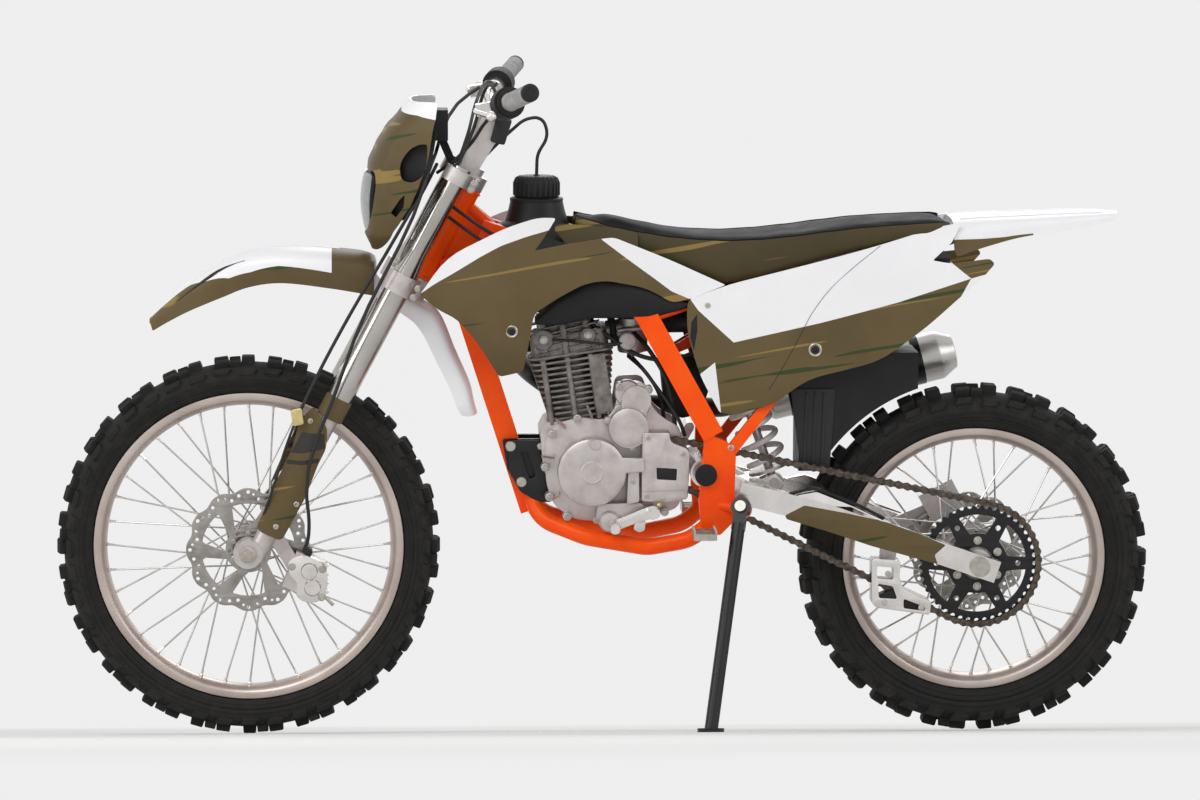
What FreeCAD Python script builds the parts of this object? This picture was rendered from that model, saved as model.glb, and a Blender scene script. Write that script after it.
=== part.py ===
# Off-road motorcycle, parked on its side stand, as separate pieces.
# Millimetres. While it is built the bike stands upright: X runs to its rear, Z is up,
# and the rider's left is the negative Y side. Its ground line is Z = 0. The last step
# leans it over onto the stand and centres it over the origin.
import FreeCAD, Part
import os
from math import atan2, cos, pi, radians, sin, sqrt, tan

V = FreeCAD.Vector

# Fits and cuts
fit_gap = 0.06
seat_gap = 0.2
run_gap = 5.0
cut_overrun = 40.0
sheet_wall = 4.0

# Stance
lean_angle = 11.0

# Steering geometry
rake_angle = 28.0
head_x = -257.0
head_z = 1013.0
fork_offset = 28.0
axle_lead = 14.0
fork_half_spread = 97.0

# Swingarm geometry
pivot_x = 163.0
pivot_z = 492.0
swingarm_length = 524.0

# Front wheel
front_tyre_radius = 347.0
front_tyre_width = 82.0
front_lug_rows = 32
front_lug_height = 12.0
front_rim_flange_radius = 280.0
front_rim_seat_radius = 267.0
front_rim_well_radius = 256.0
front_rim_inside_width = 42.0
front_hub_barrel_radius = 24.0
front_hub_flange_radius = 40.0
front_hub_half_length = 44.0
front_disc_radius = 112.0
front_disc_inner_radius = 86.0
front_axle_radius = 10.0

# Rear wheel
rear_tyre_radius = 320.5
rear_tyre_width = 104.0
rear_lug_rows = 28
rear_lug_height = 14.0
rear_rim_flange_radius = 240.0
rear_rim_seat_radius = 228.0
rear_rim_well_radius = 216.0
rear_rim_inside_width = 54.0
rear_hub_barrel_radius = 30.0
rear_hub_flange_radius = 58.0
rear_hub_half_length = 56.0
rear_disc_radius = 110.0
rear_disc_inner_radius = 84.0
rear_axle_radius = 11.0

# Wheel details
rim_wall = 4.0
spoke_radius = 2.2
spoke_count = 36
spoke_cross_angle = 58.0
spoke_rim_offset = 7.0
hub_flange_wall = 6.0
hub_flange_inset = 12.0
disc_wall = 4.0
disc_scallops = 12
disc_scallop_depth = 7.0
disc_scallop_radius = 40.0
disc_arms = 6
disc_arm_width = 16.0
disc_carrier_width = 14.0
front_disc_offset = 60.0
rear_disc_offset = 62.0

# Final drive
chain_pitch = 15.875
chain_offset = 80.0
chain_width = 16.0
chain_height = 15.0
chain_roller_radius = 5.1
chain_waist = 2.2
tooth_gap = 1.0
front_teeth = 14
rear_teeth = 44
front_sprocket_x = 105.0
front_sprocket_z = 515.0
sprocket_wall = 6.0
sprocket_arms = 6
sprocket_arm_width = 22.0
sprocket_ring_width = 14.0

# Steering head and frame
stem_radius = 14.0
head_tube_radius = 27.0
upper_clamp_height = 26.0
lower_clamp_height = 36.0
clamp_drop = 216.0
clamp_ring_wall = 9.0
clamp_boss_radius = 28.0
stem_nut_radius = 16.0
stem_nut_height = 12.0
spar_height = 39.0
spar_depth = 26.0
spar_x = -240.0
spar_z = 562.0
spar_length = 416.0
spar_rise = 363.0
spar_half_spread = 108.0
downtube_height = 38.0
downtube_depth = 40.0
downtube_top_x = -296.0
downtube_top_z = 874.0
downtube_low_x = -147.0
downtube_low_z = 413.0
rail_radius = 15.0
rail_bend = 70.0
rail_x = -152.0
rail_z = 356.0
rail_length = 322.0
rail_rise = 96.0
rail_half_spread = 102.0
pivot_plate_inner = 98.0
pivot_plate_wall = 20.0
pivot_plate_x = 151.0
pivot_plate_z = 382.0
pivot_plate_length = 66.0
pivot_plate_height = 185.0
pivot_bolt_radius = 9.0
pivot_cap_radius = 20.0
pivot_cap_wall = 6.0
cross_tube_radius = 14.0
cross_tube_x = 99.0
cross_tube_z = 700.0

# Subframe
subframe_radius = 11.0
subframe_bend = 60.0
subframe_x = 70.0
subframe_z = 778.0
subframe_length = 490.0
subframe_half_spread = 100.0
strut_height = 20.0
strut_depth = 14.0
strut_x = 204.0
strut_z = 528.0
strut_length = 226.0
strut_rise = 310.0
strut_half_spread = 108.0

# Fork
outer_tube_radius = 23.0
neck_tube_radius = 17.5
outer_tube_drop = 444.0
outer_tube_rise = 18.0
tube_cone_length = 46.0
inner_tube_radius = 18.0
inner_tube_insert = 50.0
axle_lug_radius = 26.0
axle_lug_half_width = 20.0
guard_top_drop = 482.0
guard_length = 244.0
guard_width = 71.0
guard_half_depth = 24.0
guard_wall = 4.0
guard_leg_gap = 0.3

# Front brake
caliper_half_depth = 25.0
caliper_inner_depth = 18.0
caliper_face_gap = 3.0
front_caliper_angle = -23.0
rear_caliper_angle = 118.0
caliper_inner_radius = 80.0
caliper_outer_radius = 136.0
caliper_half_span = 34.0
caliper_arm_depth = 10.0
caliper_arm_width = 26.0

# Handlebar
bar_x = -212.0
bar_z = 1130.0
bar_radius = 11.0
bar_bend = 60.0
bar_flat_half = 75.0
bar_rise_side = 190.0
bar_rise_x = -8.0
bar_rise_z = 22.0
bar_end_side = 392.0
bar_end_x = 47.0
bar_end_z = 65.0
riser_side = 50.0
riser_width = 24.0
riser_depth = 30.0
riser_cap = 14.0
grip_radius = 16.0
grip_flange_radius = 24.0
grip_flange_wall = 5.0
grip_length = 118.0
grip_end_wall = 8.0
housing_radius = 28.0
housing_length = 26.0
perch_radius = 17.0
perch_length = 34.0
lever_reach = 66.0
lever_drop = 20.0
lever_height = 14.0
lever_depth = 9.0
lever_ball_radius = 9.0
gauge_x = -330.0
gauge_z = 1085.0
gauge_length = 32.0
gauge_height = 55.0
gauge_half_width = 34.0
gauge_arm_height = 14.0
gauge_arm_depth = 30.0

# Bodywork places and sizes
shroud_x = -350.0
shroud_z = 673.0
shroud_length = 543.0
shroud_height = 282.0
shroud_reach = 160.0
shroud_tuck = 117.0
panel_x = 126.0
panel_z = 604.0
panel_length = 554.0
panel_height = 300.0
panel_reach = 127.0
panel_tail_reach = 103.0
panel_boss_radius = 9.0
shroud_boss_radius = 9.0
shroud_boss_x = -104.0
shroud_boss_z = 845.0
outline_corner = 10.0
seat_x = -71.0
seat_z = 831.0
seat_length = 675.0
seat_height = 133.0
seat_half_width = 111.0
seat_pad = 46.0
seat_side_wall = 12.0
seat_core_share = 0.7
tank_x = -215.0
tank_z = 765.0
tank_length = 345.0
tank_height = 205.0
tank_half_width = 112.0
tank_neck_x = -138.0
tank_neck_z = 930.0
tank_neck_height = 52.0
tank_neck_radius = 57.0
tank_mouth_radius = 47.0
cap_radius = 43.0
cap_height = 38.0
cap_ribs = 12
cap_rib_radius = 4.0
tail_x = 500.0
tail_z = 850.0
tail_length = 412.0
tail_height = 106.0
tail_half_width = 96.0
fender_x = -834.0
fender_z = 700.0
fender_length = 600.0
fender_height = 190.0
fender_half_width = 72.0
flap_half_width = 56.0
flap_drop = 150.0
flap_sweep = 182.0
flap_depth = 26.0
mask_x = -445.0
mask_z = 893.0
mask_length = 128.0
mask_height = 265.0
mask_half_width = 122.0
mask_clip_height = 22.0
mask_clip_depth = 14.0
mask_clip_share = 0.35
lens_x = -455.0
lens_z = 923.0
lens_length = 34.0
lens_height = 107.0
lens_half_width = 66.0
mud_guard_height = 215.0
mud_guard_length = 215.0
mud_guard_half_width = 60.0
mud_guard_gap = 14.0

# Engine
case_x = -132.0
case_z = 405.0
case_length = 262.0
case_height = 182.0
case_left = 62.0
case_right = 72.0
crank_x = -41.0
crank_z = 496.0
magneto_radius = 60.0
magneto_reach = 112.0
magneto_boss_radius = 19.0
magneto_boss_wall = 4.0
magneto_plug_radius = 9.0
sprocket_cover_x = 47.0
sprocket_cover_z = 438.0
sprocket_cover_length = 90.0
sprocket_cover_height = 129.0
sprocket_cover_wall = 12.0
sprocket_cover_reach = 108.0
starter_x = 26.0
starter_z = 573.0
starter_radius = 35.0
starter_reach = 100.0
starter_gear_x = 40.0
starter_gear_z = 622.0
starter_gear_radius = 26.0
starter_gear_reach = 84.0
clutch_x = 40.0
clutch_z = 487.0
clutch_radius = 76.0
clutch_reach = 104.0
cylinder_x = -60.0
cylinder_z = 588.0
cylinder_height = 118.0
cylinder_tilt = 8.4
cylinder_core_radius = 44.0
fin_wall = 3.6
fin_count = 12
fin_low_half_length = 56.0
fin_high_half_length = 77.0
fin_low_half_depth = 52.0
fin_high_half_depth = 64.0
head_height = 66.0
head_half_length = 70.0
head_half_depth = 58.0
engine_plate_wall = 6.0
engine_plate_side = 27.0
engine_plate_x = -200.0
engine_plate_z = 437.0
engine_plate_length = 92.0
engine_plate_height = 109.0
bolt_radius = 9.0
bolt_height = 6.0
port_share = 0.37
port_run = 16.0

# Intake and exhaust
carb_radius = 27.0
carb_bowl_depth = 44.0
boot_radius = 20.0
boot_bend = 60.0
boot_turn = 52.0
boot_knee_x = 240.0
boot_knee_z = 742.0
boot_knee_side = 64.0
airbox_mouth_side = 60.0
airbox_x = 335.0
airbox_z = 705.0
airbox_length = 160.0
airbox_height = 120.0
airbox_half_width = 84.0
pipe_radius = 18.0
pipe_bend = 58.0
pipe_turn = 46.0
pipe_fall = 22.0
pipe_x = -146.0
pipe_z = 586.0
pipe_length = 226.0
pipe_rise = 64.0
pipe_side = 140.0
silencer_radius = 45.0
silencer_x = 272.0
silencer_z = 592.0
silencer_side = 158.0
silencer_length = 380.0
silencer_rise = 90.0
silencer_tip_radius = 20.0
silencer_tip_length = 34.0

# Swingarm and shock
arm_inner = 92.0
arm_depth = 28.0
arm_rear_height = 40.0
arm_end_overhang = 34.0
arm_pivot_radius = 26.0
arm_front_x = 224.0
arm_bridge_x = 247.0
arm_bridge_z = 449.0
arm_bridge_length = 44.0
arm_bridge_height = 40.0
shock_top_x = 192.0
shock_top_z = 748.0
shock_low_x = 296.0
shock_low_z = 462.0
shock_rod_radius = 8.0
shock_body_radius = 23.0
shock_body_share = 0.45
shock_eye_radius = 17.0
shock_eye_half_width = 15.0
shock_bracket_wall = 6.0
spring_radius = 33.0
spring_wire_radius = 5.5
spring_turns = 7.0
spring_seat_radius = 39.0
spring_seat_wall = 6.0
guide_x = 468.0
guide_z = 226.0
guide_length = 109.0
guide_height = 106.0
guide_half_width = 15.0
guide_lug_length = 28.0
guide_lug_depth = 12.0

# Stand, pegs and pedals
stand_x = 225.0
stand_z = 436.0
stand_side = 142.0
stand_foot_out = 148.0
stand_foot_forward = 62.0
stand_fold_back = 373.0
stand_fold_up = 140.0
stand_fold_out = 24.0
stand_radius = 12.0
stand_eye_radius = 18.0
stand_eye_half_width = 7.0
stand_pin_radius = 6.0
stand_pin_head_radius = 10.0
stand_pin_head_wall = 6.0
stand_tab_wall = 9.0
stand_foot_radius = 24.0
stand_foot_wall = 7.0
peg_x = 160.0
peg_z = 387.0
peg_reach = 196.0
peg_length = 46.0
peg_height = 18.0
peg_teeth = 4
peg_tooth_height = 6.0
peg_bracket_length = 34.0
peg_bracket_height = 30.0
lever_bar_radius = 6.0
gear_shaft_x = 72.0
gear_shaft_z = 422.0
gear_toe_x = -1.0
gear_toe_z = 399.0
gear_toe_reach = 158.0
gear_lever_side = 118.0
pedal_shaft_x = 112.0
pedal_shaft_z = 362.0
pedal_toe_x = -8.0
pedal_toe_z = 372.0
pedal_side = 132.0
pedal_toe_half_width = 22.0
kick_shaft_x = 92.0
kick_shaft_z = 452.0
kick_top_x = 150.0
kick_top_z = 545.0
kick_side = 128.0
kick_pedal_reach = 196.0

# Hoses
hose_radius = 3.2
vent_hose_radius = 3.0
vent_hose_bend = 45.0
hose_bend = 90.0

# Outlines, as shares of their piece's length and height from its low front corner
shroud_shares = (
    (0.00, 0.52), (0.08, 0.75), (0.27, 0.94), (0.38, 1.00), (0.45, 1.00), (0.49, 0.84),
    (1.00, 0.57), (0.91, 0.45), (0.83, 0.47), (0.76, 0.55), (0.58, 0.61), (0.42, 0.45),
    (0.37, 0.39), (0.34, 0.04), (0.26, 0.00), (0.19, 0.21), (0.13, 0.37),
)
panel_shares = (
    (0.01, 0.69), (0.12, 0.77), (0.19, 0.76), (0.46, 0.92), (0.63, 1.00), (0.81, 0.88),
    (0.86, 0.92), (1.00, 0.92), (0.97, 0.82), (0.88, 0.70), (0.76, 0.50), (0.62, 0.31),
    (0.38, 0.20), (0.13, 0.00), (0.10, 0.00), (0.04, 0.23), (0.00, 0.45),
)
pivot_plate_shares = (
    (0.14, 1.00), (0.78, 0.91), (1.00, 0.78), (0.95, 0.13), (0.59, 0.00), (0.08, 0.02),
    (0.00, 0.34), (0.11, 0.78),
)
case_shares = (
    (0.02, 0.50), (0.00, 0.85), (0.04, 0.96), (0.48, 1.00), (0.68, 0.88), (0.90, 0.88),
    (1.00, 0.65), (0.99, 0.20), (0.84, 0.08), (0.68, 0.00), (0.40, 0.03), (0.18, 0.15),
    (0.10, 0.23),
)
sprocket_cover_shares = (
    (0.09, 1.00), (0.58, 1.00), (0.60, 0.85), (0.94, 0.77), (1.00, 0.70), (0.94, 0.06),
    (0.45, 0.00), (0.00, 0.01),
)
engine_plate_shares = (
    (0.00, 1.00), (0.78, 1.00), (1.00, 0.05), (0.78, 0.00), (0.33, 0.17), (0.10, 0.50),
)
guide_shares = (
    (0.00, 1.00), (0.48, 0.97), (0.51, 0.47), (1.00, 0.26), (0.98, 0.00), (0.10, 0.16),
)
lens_shares = (
    (1.00, 1.00), (0.30, 0.95), (0.08, 0.74), (0.00, 0.50), (0.08, 0.22), (0.22, 0.00), (1.00, 0.00),
)
guard_shares = (
    (0.90, 0.00), (0.35, 0.09), (0.22, 0.17), (0.12, 0.25), (0.00, 0.63), (0.03, 0.99),
    (0.75, 1.00), (0.79, 0.76), (0.87, 0.44), (1.00, 0.20), (1.00, 0.09),
)

# Routes of the frame's members and of the exhaust: share of length, of half spread and of rise
spar_shares = (
    (0.000, 0.333, 1.000), (0.337, 0.463, 0.876), (0.601, 0.833, 0.752), (0.707, 0.963, 0.601),
    (1.000, 1.000, 0.000),
)
rail_shares = (
    (0.000, 0.137, 1.000), (0.062, 0.510, 0.479), (0.317, 0.843, 0.188), (0.658, 0.882, 0.000),
    (0.891, 0.941, 0.146), (1.000, 1.000, 0.438),
)
subframe_shares = ((0.000, 1.000, 0.000), (0.265, 0.760, 0.482), (0.714, 0.620, 0.771), (1.000, 0.520, 1.000))
strut_shares = ((0.000, 1.000, 0.000), (0.425, 0.907, 0.394), (1.000, 0.611, 1.000))
pipe_shares = ((0.000, 0.757, 1.000), (0.336, 0.900, 0.094), (1.000, 1.000, 0.000))
# Side panel's bosses, as shares of the way along the rail's and the strut's first and second runs
panel_rail_share = 0.885
panel_strut_share = 0.40
shroud_plan_shares = ((-0.01, 0.97), (0.25, 1.00), (0.45, 0.90), (0.68, 0.79))

# Tyre side, as shares of half the width and of the height above the rim flange
tyre_side_shares = ((0.66, 0.04), (1.00, 0.50), (0.94, 0.84), (0.66, 0.95), (0.30, 1.00))
# Share of a row that a lug takes round the tyre, at its foot and at its tip
lug_foot_share = 0.58
lug_tip_share = 0.50

# Ring sections of the bodywork: share of length, of half width, of the low and the high edge
seat_shares = (
    (0.00, 0.34, 0.80, 0.96), (0.10, 0.62, 0.46, 0.72), (0.25, 0.84, 0.22, 0.65), (0.40, 0.94, 0.04, 0.64),
    (0.58, 1.00, 0.28, 0.72), (0.76, 1.00, 0.52, 0.83), (0.93, 0.93, 0.66, 0.91), (1.00, 0.80, 0.78, 0.88),
)
tank_shares = (
    (0.00, 0.46, 0.56, 0.82), (0.10, 0.70, 0.36, 0.88), (0.24, 0.92, 0.10, 0.89), (0.40, 1.00, 0.14, 0.82),
    (0.61, 0.98, 0.20, 0.54), (0.84, 0.92, 0.24, 0.46), (1.00, 0.76, 0.28, 0.40),
)
seat_end_share = (seat_x + seat_length + seat_gap - tail_x) / tail_length
tail_seat_share = 0.243
tail_shares = (
    (0.00, 0.97, 0.00, 0.22), (seat_end_share, 1.00, 0.18, 0.28), (seat_end_share + 0.001, 0.99, 0.27, 0.88),
    (0.40, 0.94, 0.46, 0.94), (0.57, 0.84, 0.63, 0.96), (0.91, 0.55, 0.80, 1.00), (1.00, 0.36, 0.90, 0.99),
)
fender_shares = (
    (0.00, 0.30, 0.20, 0.32), (0.12, 0.62, 0.42, 0.66), (0.22, 0.84, 0.56, 0.86), (0.30, 0.96, 0.66, 0.96),
    (0.40, 1.00, 0.70, 1.00), (0.55, 1.00, 0.64, 0.97), (0.67, 0.94, 0.57, 0.90),
)
# Flap behind the blade: share of its drop, of its sweep ahead of the stem, of half width and of depth
flap_shares = (
    (0.000, 0.350, 0.94, 1.00), (0.000, 0.000, 0.92, 0.77), (0.107, -0.132, 0.92, 0.77),
    (0.340, -0.363, 0.95, 0.69), (0.607, -0.637, 0.95, 0.62), (0.840, -0.868, 0.90, 0.54),
    (1.000, -1.000, 0.70, 0.39),
)
# Horizontal rings of the headlight mask: share of height, front, back, half width
mask_shares = (
    (0.00, 0.10, 0.22, 0.52), (0.11, 0.00, 0.36, 0.80), (0.33, 0.02, 0.64, 0.96), (0.58, 0.05, 0.84, 1.00),
    (0.80, 0.28, 0.92, 0.96), (1.00, 0.64, 1.00, 0.80),
)

# Values that follow from those above
lean = radians(lean_angle)
rake = radians(rake_angle)
fork_up = V(sin(rake), 0, cos(rake))
fork_fore = V(-cos(rake), 0, sin(rake))
across = V(0, 1, 0)
run_share = 0.48
front_pitch_radius = chain_pitch / (2 * sin(pi / front_teeth))
rear_pitch_radius = chain_pitch / (2 * sin(pi / rear_teeth))


# Place along the fork axis from the upper clamp, ahead of it and to the side
def fork_point(along, fore, side=0):
    return V(head_x, side, head_z) + fork_up * along + fork_fore * fore


# Half profile of a tyre beyond its rim, as pairs of side and radius
def tyre_side(radius, flange, width):
    return [(width / 2 * s, flange + (radius - flange) * h) for s, h in tyre_side_shares]


# Height of an upright axle whose leaned tyre just meets the ground
def axle_height(radius, flange, width):
    return max(r + side * tan(lean) for side, r in tyre_side(radius, flange, width))


front_axle_z = axle_height(front_tyre_radius, front_rim_flange_radius, front_tyre_width)
axle_fore = fork_offset + axle_lead
axle_along = (front_axle_z - head_z - axle_fore * sin(rake)) / cos(rake)
front_centre = fork_point(axle_along, axle_fore)
rear_axle_z = axle_height(rear_tyre_radius, rear_rim_flange_radius, rear_tyre_width)
rear_centre = V(pivot_x + sqrt(swingarm_length ** 2 - (pivot_z - rear_axle_z) ** 2), 0, rear_axle_z)
sprocket_centre = V(front_sprocket_x, 0, front_sprocket_z)


# Geometry helpers
def mirrored(shape):
    return shape.mirror(V(0, 0, 0), across)


def both_sides(shape):
    return Part.makeCompound([shape, mirrored(shape)])


def fused(shapes):
    return shapes[0].fuse(list(shapes[1:])).removeSplitter()


def outline(shares, x, z, length, height):
    return [V(x + length * s, 0, z + height * h) for s, h in shares]


# Places along a member on the left side, from its shares
def route(shares, x, z, length, rise, half_spread):
    return [V(x + length * s, -half_spread * w, z + rise * h) for s, w, h in shares]


def between(start, end, share):
    return start + (end - start) * share


def rod(start, end, radius):
    run = end - start
    return Part.makeCylinder(radius, run.Length, start, run)


def box(low, high):
    size = high - low
    return Part.makeBox(size.x, size.y, size.z, low)


# Straight runs joined by tangent arcs, each held to its shorter run
def bent_edges(points, bend, closed=False):
    count = len(points)
    corners = {}
    for i in range(0 if closed else 1, count if closed else count - 1):
        corner = points[i]
        back = points[i - 1] - corner
        ahead = points[(i + 1) % count] - corner
        half_turn = (pi - back.getAngle(ahead)) / 2
        setback = min(bend * tan(half_turn), run_share * min(back.Length, ahead.Length))
        radius = setback / tan(half_turn)
        back.normalize()
        ahead.normalize()
        inward = (back + ahead).normalize()
        middle = corner + inward * (radius / cos(half_turn) - radius)
        corners[i] = (corner + back * setback, middle, corner + ahead * setback)
    edges = []
    for i in range(count if closed else count - 1):
        start = corners[i][2] if i in corners else points[i]
        following = (i + 1) % count
        end = corners[following][0] if following in corners else points[following]
        edges.append(Part.LineSegment(start, end).toShape())
        if following in corners:
            edges.append(Part.Arc(*corners[following]).toShape())
    return edges


def bend_radii(points, bend):
    radii = []
    for before, corner, after in zip(points, points[1:], points[2:]):
        back, ahead = before - corner, after - corner
        half_turn = (pi - back.getAngle(ahead)) / 2
        radii.append(min(bend, run_share * min(back.Length, ahead.Length) / tan(half_turn)))
    return radii


def tube(points, radius, bend):
    path = Part.Wire(bent_edges(points, bend))
    mouth = Part.Wire(Part.makeCircle(radius, points[0], points[1] - points[0]))
    return path.makePipeShell([mouth], True, True)


# Flat plate between two sides, from an outline drawn on the middle plane
def plate(points, low, high, corner=0):
    if corner:
        wire = Part.Wire(bent_edges(points, corner, True))
    else:
        wire = Part.makePolygon(points + points[:1])
    face = Part.Face(wire)
    face.translate(across * low)
    return face.extrude(across * (high - low))


# Round body about the cross axis through a centre, from pairs of side and radius
def turned(profile, centre):
    points = [centre + V(0, side, radius) for side, radius in profile]
    face = Part.Face(Part.makePolygon(points + points[:1]))
    return face.revolve(centre, across, 360)


def disc(centre, radius, low, high):
    return Part.makeCylinder(radius, high - low, centre + across * low, across)


def ruled_body(rings):
    wires = [Part.makePolygon(ring + ring[:1]) for ring in rings]
    return Part.makeLoft(wires, True, True)


# Box-section beam through stations, its height square to the run and its depth sideways
def beam(stations, height, depth):
    rings = []
    for i, place in enumerate(stations):
        runs = []
        if i:
            runs.append(V(place.x - stations[i - 1].x, 0, place.z - stations[i - 1].z).normalize())
        if i + 1 < len(stations):
            runs.append(V(stations[i + 1].x - place.x, 0, stations[i + 1].z - place.z).normalize())
        run = sum(runs[1:], runs[0]).normalize()
        half = V(-run.z, 0, run.x) * (height / 2 / run.dot(runs[0]))
        side = across * (depth / 2)
        rings.append([place + half + side, place + half - side, place - half - side, place - half + side])
    return ruled_body(rings)


# Ring of flat facets about the cross axis, from pairs of side and radius at its corners
def faceted_ring(profile, centre, count):
    rings = []
    for k in range(count):
        angle = 2 * pi * k / count
        rings.append([centre + V(cos(angle) * r, side, sin(angle) * r) for side, r in profile])
    faces = []
    for ring, following in zip(rings, rings[1:] + rings[:1]):
        for j in range(len(profile)):
            corners = [ring[j - 1], ring[j], following[j], following[j - 1]]
            faces.append(Part.Face(Part.makePolygon(corners + corners[:1])))
    body = Part.Solid(Part.makeShell(faces))
    if body.Volume < 0:
        body.reverse()
    return body


# Front and rear wheels: a tyre's lugs are what the gaps cut across its tread leave
def tyre(centre, radius, seat, flange, inside, width, rows, lug_height):
    grow = 1 / cos(pi / rows)
    half = [(inside / 2, seat * grow), (inside / 2, (flange + seat_gap) * grow)]
    half += tyre_side(radius, flange, width)
    profile = half + [(-side, r) for side, r in reversed(half)]
    foot, tip = radius - lug_height, radius + lug_height
    foot_half = pi / rows * (1 - lug_foot_share)
    tip_half = pi / rows * (1 - lug_tip_share)
    gaps = []
    for k in range(rows):
        middle = 2 * pi * (k + 0.5) / rows
        corners = []
        for reach, angle in ((foot, -foot_half), (foot, foot_half), (tip, tip_half), (tip, -tip_half)):
            corners.append(centre + V(cos(middle + angle) * reach, 0, sin(middle + angle) * reach))
        gaps.append(plate(corners, -width, width))
    return faceted_ring(profile, centre, rows).cut(Part.makeCompound(gaps))


def rim(centre, seat, flange, well, inside):
    inner = inside / 2 + seat_gap
    outer = inner + rim_wall
    well_side = outer / 2
    half = [(inner, seat - seat_gap), (inner, flange), (outer, flange), (outer, seat), (well_side, well)]
    profile = half + [(-side, r) for side, r in reversed(half)]
    return turned(profile, centre)


def laced_hub(centre, barrel, flange, half_length, axle, well):
    flange_side = half_length - hub_flange_inset
    solids = [disc(centre, barrel, -half_length, half_length)]
    for side in (-1, 1):
        low, high = sorted((side * flange_side, side * (flange_side - hub_flange_wall)))
        solids.append(disc(centre, flange, low, high))
    hub_pitch = flange - 2 * spoke_radius
    for k in range(spoke_count):
        side = -1 if k % 2 else 1
        cross = radians(spoke_cross_angle) * (1 if k // 2 % 2 else -1)
        angle = 2 * pi * k / spoke_count
        weave = spoke_radius * (1 if cross > 0 else -1)
        inner = side * (flange_side - hub_flange_wall / 2 + weave)
        start = centre + V(cos(angle + cross) * hub_pitch, inner, sin(angle + cross) * hub_pitch)
        end = centre + V(cos(angle) * well, side * spoke_rim_offset, sin(angle) * well)
        solids.append(rod(start, end + (end - start).normalize() * hub_flange_wall, spoke_radius))
    laced = fused(solids)
    laced = laced.common(disc(centre, well - seat_gap, -half_length, half_length))
    return laced.cut(disc(centre, axle + fit_gap, -half_length - cut_overrun, half_length + cut_overrun))


def brake_disc(centre, radius, inner, hub_nose, offset):
    low, high = offset - disc_wall / 2, offset + disc_wall / 2
    body = disc(centre, radius, low, high).cut(disc(centre, inner, low - cut_overrun, high + cut_overrun))
    scallops = []
    for k in range(disc_scallops):
        angle = 2 * pi * k / disc_scallops
        reach = radius - disc_scallop_depth + disc_scallop_radius
        at = centre + V(cos(angle), 0, sin(angle)) * reach
        scallops.append(disc(at, disc_scallop_radius, low - cut_overrun, high + cut_overrun))
    body = body.cut(Part.makeCompound(scallops))
    bore = hub_nose + fit_gap
    parts = [body, disc(centre, bore + disc_carrier_width, low, high)]
    for k in range(disc_arms):
        angle = 2 * pi * k / disc_arms
        reach = (radius + inner) / 2
        arm = Part.makeBox(reach, high - low, disc_arm_width, V(0, low, -disc_arm_width / 2))
        arm.rotate(V(0, 0, 0), across, angle * 180 / pi)
        arm.translate(centre)
        parts.append(arm)
    return fused(parts).cut(disc(centre, bore, low - cut_overrun, high + cut_overrun))


def front_hub():
    laced = laced_hub(
        front_centre, front_hub_barrel_radius, front_hub_flange_radius, front_hub_half_length,
        front_axle_radius, front_rim_well_radius,
    )
    nose_end = -front_disc_offset - disc_wall
    nose = disc(front_centre, front_hub_barrel_radius, nose_end, -front_hub_half_length)
    bore = disc(front_centre, front_axle_radius + fit_gap, nose_end - cut_overrun, 0)
    return laced.fuse(nose.cut(bore)).removeSplitter()


def rear_hub():
    laced = laced_hub(
        rear_centre, rear_hub_barrel_radius, rear_hub_flange_radius, rear_hub_half_length,
        rear_axle_radius, rear_rim_well_radius,
    )
    reach = chain_offset + sprocket_wall
    bore = disc(rear_centre, rear_axle_radius + fit_gap, -reach - cut_overrun, reach + cut_overrun)
    left = disc(rear_centre, rear_hub_barrel_radius, -reach, -rear_hub_half_length)
    right = disc(rear_centre, rear_hub_barrel_radius, rear_hub_half_length, rear_disc_offset + disc_wall)
    return fused([laced, left.cut(bore), right.cut(bore)])


# Sprocket whose teeth stay inside the circle that the chain's rollers leave
def sprocket(centre, pitch_radius, teeth, bore, armed):
    low, high = -chain_offset - sprocket_wall / 2, -chain_offset + sprocket_wall / 2
    tip = pitch_radius - chain_roller_radius - tooth_gap
    root = tip - chain_roller_radius
    points = []
    for k in range(teeth):
        for share, reach in ((0.0, tip), (0.25, tip), (0.5, root), (0.75, root)):
            angle = 2 * pi * (k + share) / teeth
            points.append(centre + V(cos(angle), 0, sin(angle)) * reach)
    body = plate(points, low, high)
    if armed:
        ring = root - sprocket_ring_width
        window = disc(centre, ring, low - cut_overrun, high + cut_overrun)
        arms = [disc(centre, bore + sprocket_arm_width, low, high)]
        for k in range(sprocket_arms):
            arm = Part.makeBox(root, high - low, sprocket_arm_width, V(0, low, -sprocket_arm_width / 2))
            arm.rotate(V(0, 0, 0), across, 360 * k / sprocket_arms)
            arm.translate(centre)
            arms.append(arm)
        body = fused([body.cut(window)] + arms)
    return body.cut(disc(centre, bore, low - cut_overrun, high + cut_overrun))


# Loop of the chain at a distance from its pitch line
def chain_loop(grow):
    small = front_pitch_radius + grow
    large = rear_pitch_radius + grow
    run = rear_centre - sprocket_centre
    tilt = atan2(run.z, run.x)
    spread = pi / 2 + atan2(rear_pitch_radius - front_pitch_radius, run.Length)

    def on(centre, radius, angle):
        return V(centre.x + cos(angle) * radius, 0, centre.z + sin(angle) * radius)

    top, low = tilt + spread, tilt - spread
    front = [on(sprocket_centre, small, a) for a in (top, tilt + pi, low)]
    back = [on(rear_centre, large, a) for a in (low, tilt, top)]
    edges = [
        Part.Arc(*front).toShape(), Part.LineSegment(front[2], back[0]).toShape(),
        Part.Arc(*back).toShape(), Part.LineSegment(back[2], front[0]).toShape(),
    ]
    return Part.Face(Part.Wire(edges))


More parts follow.
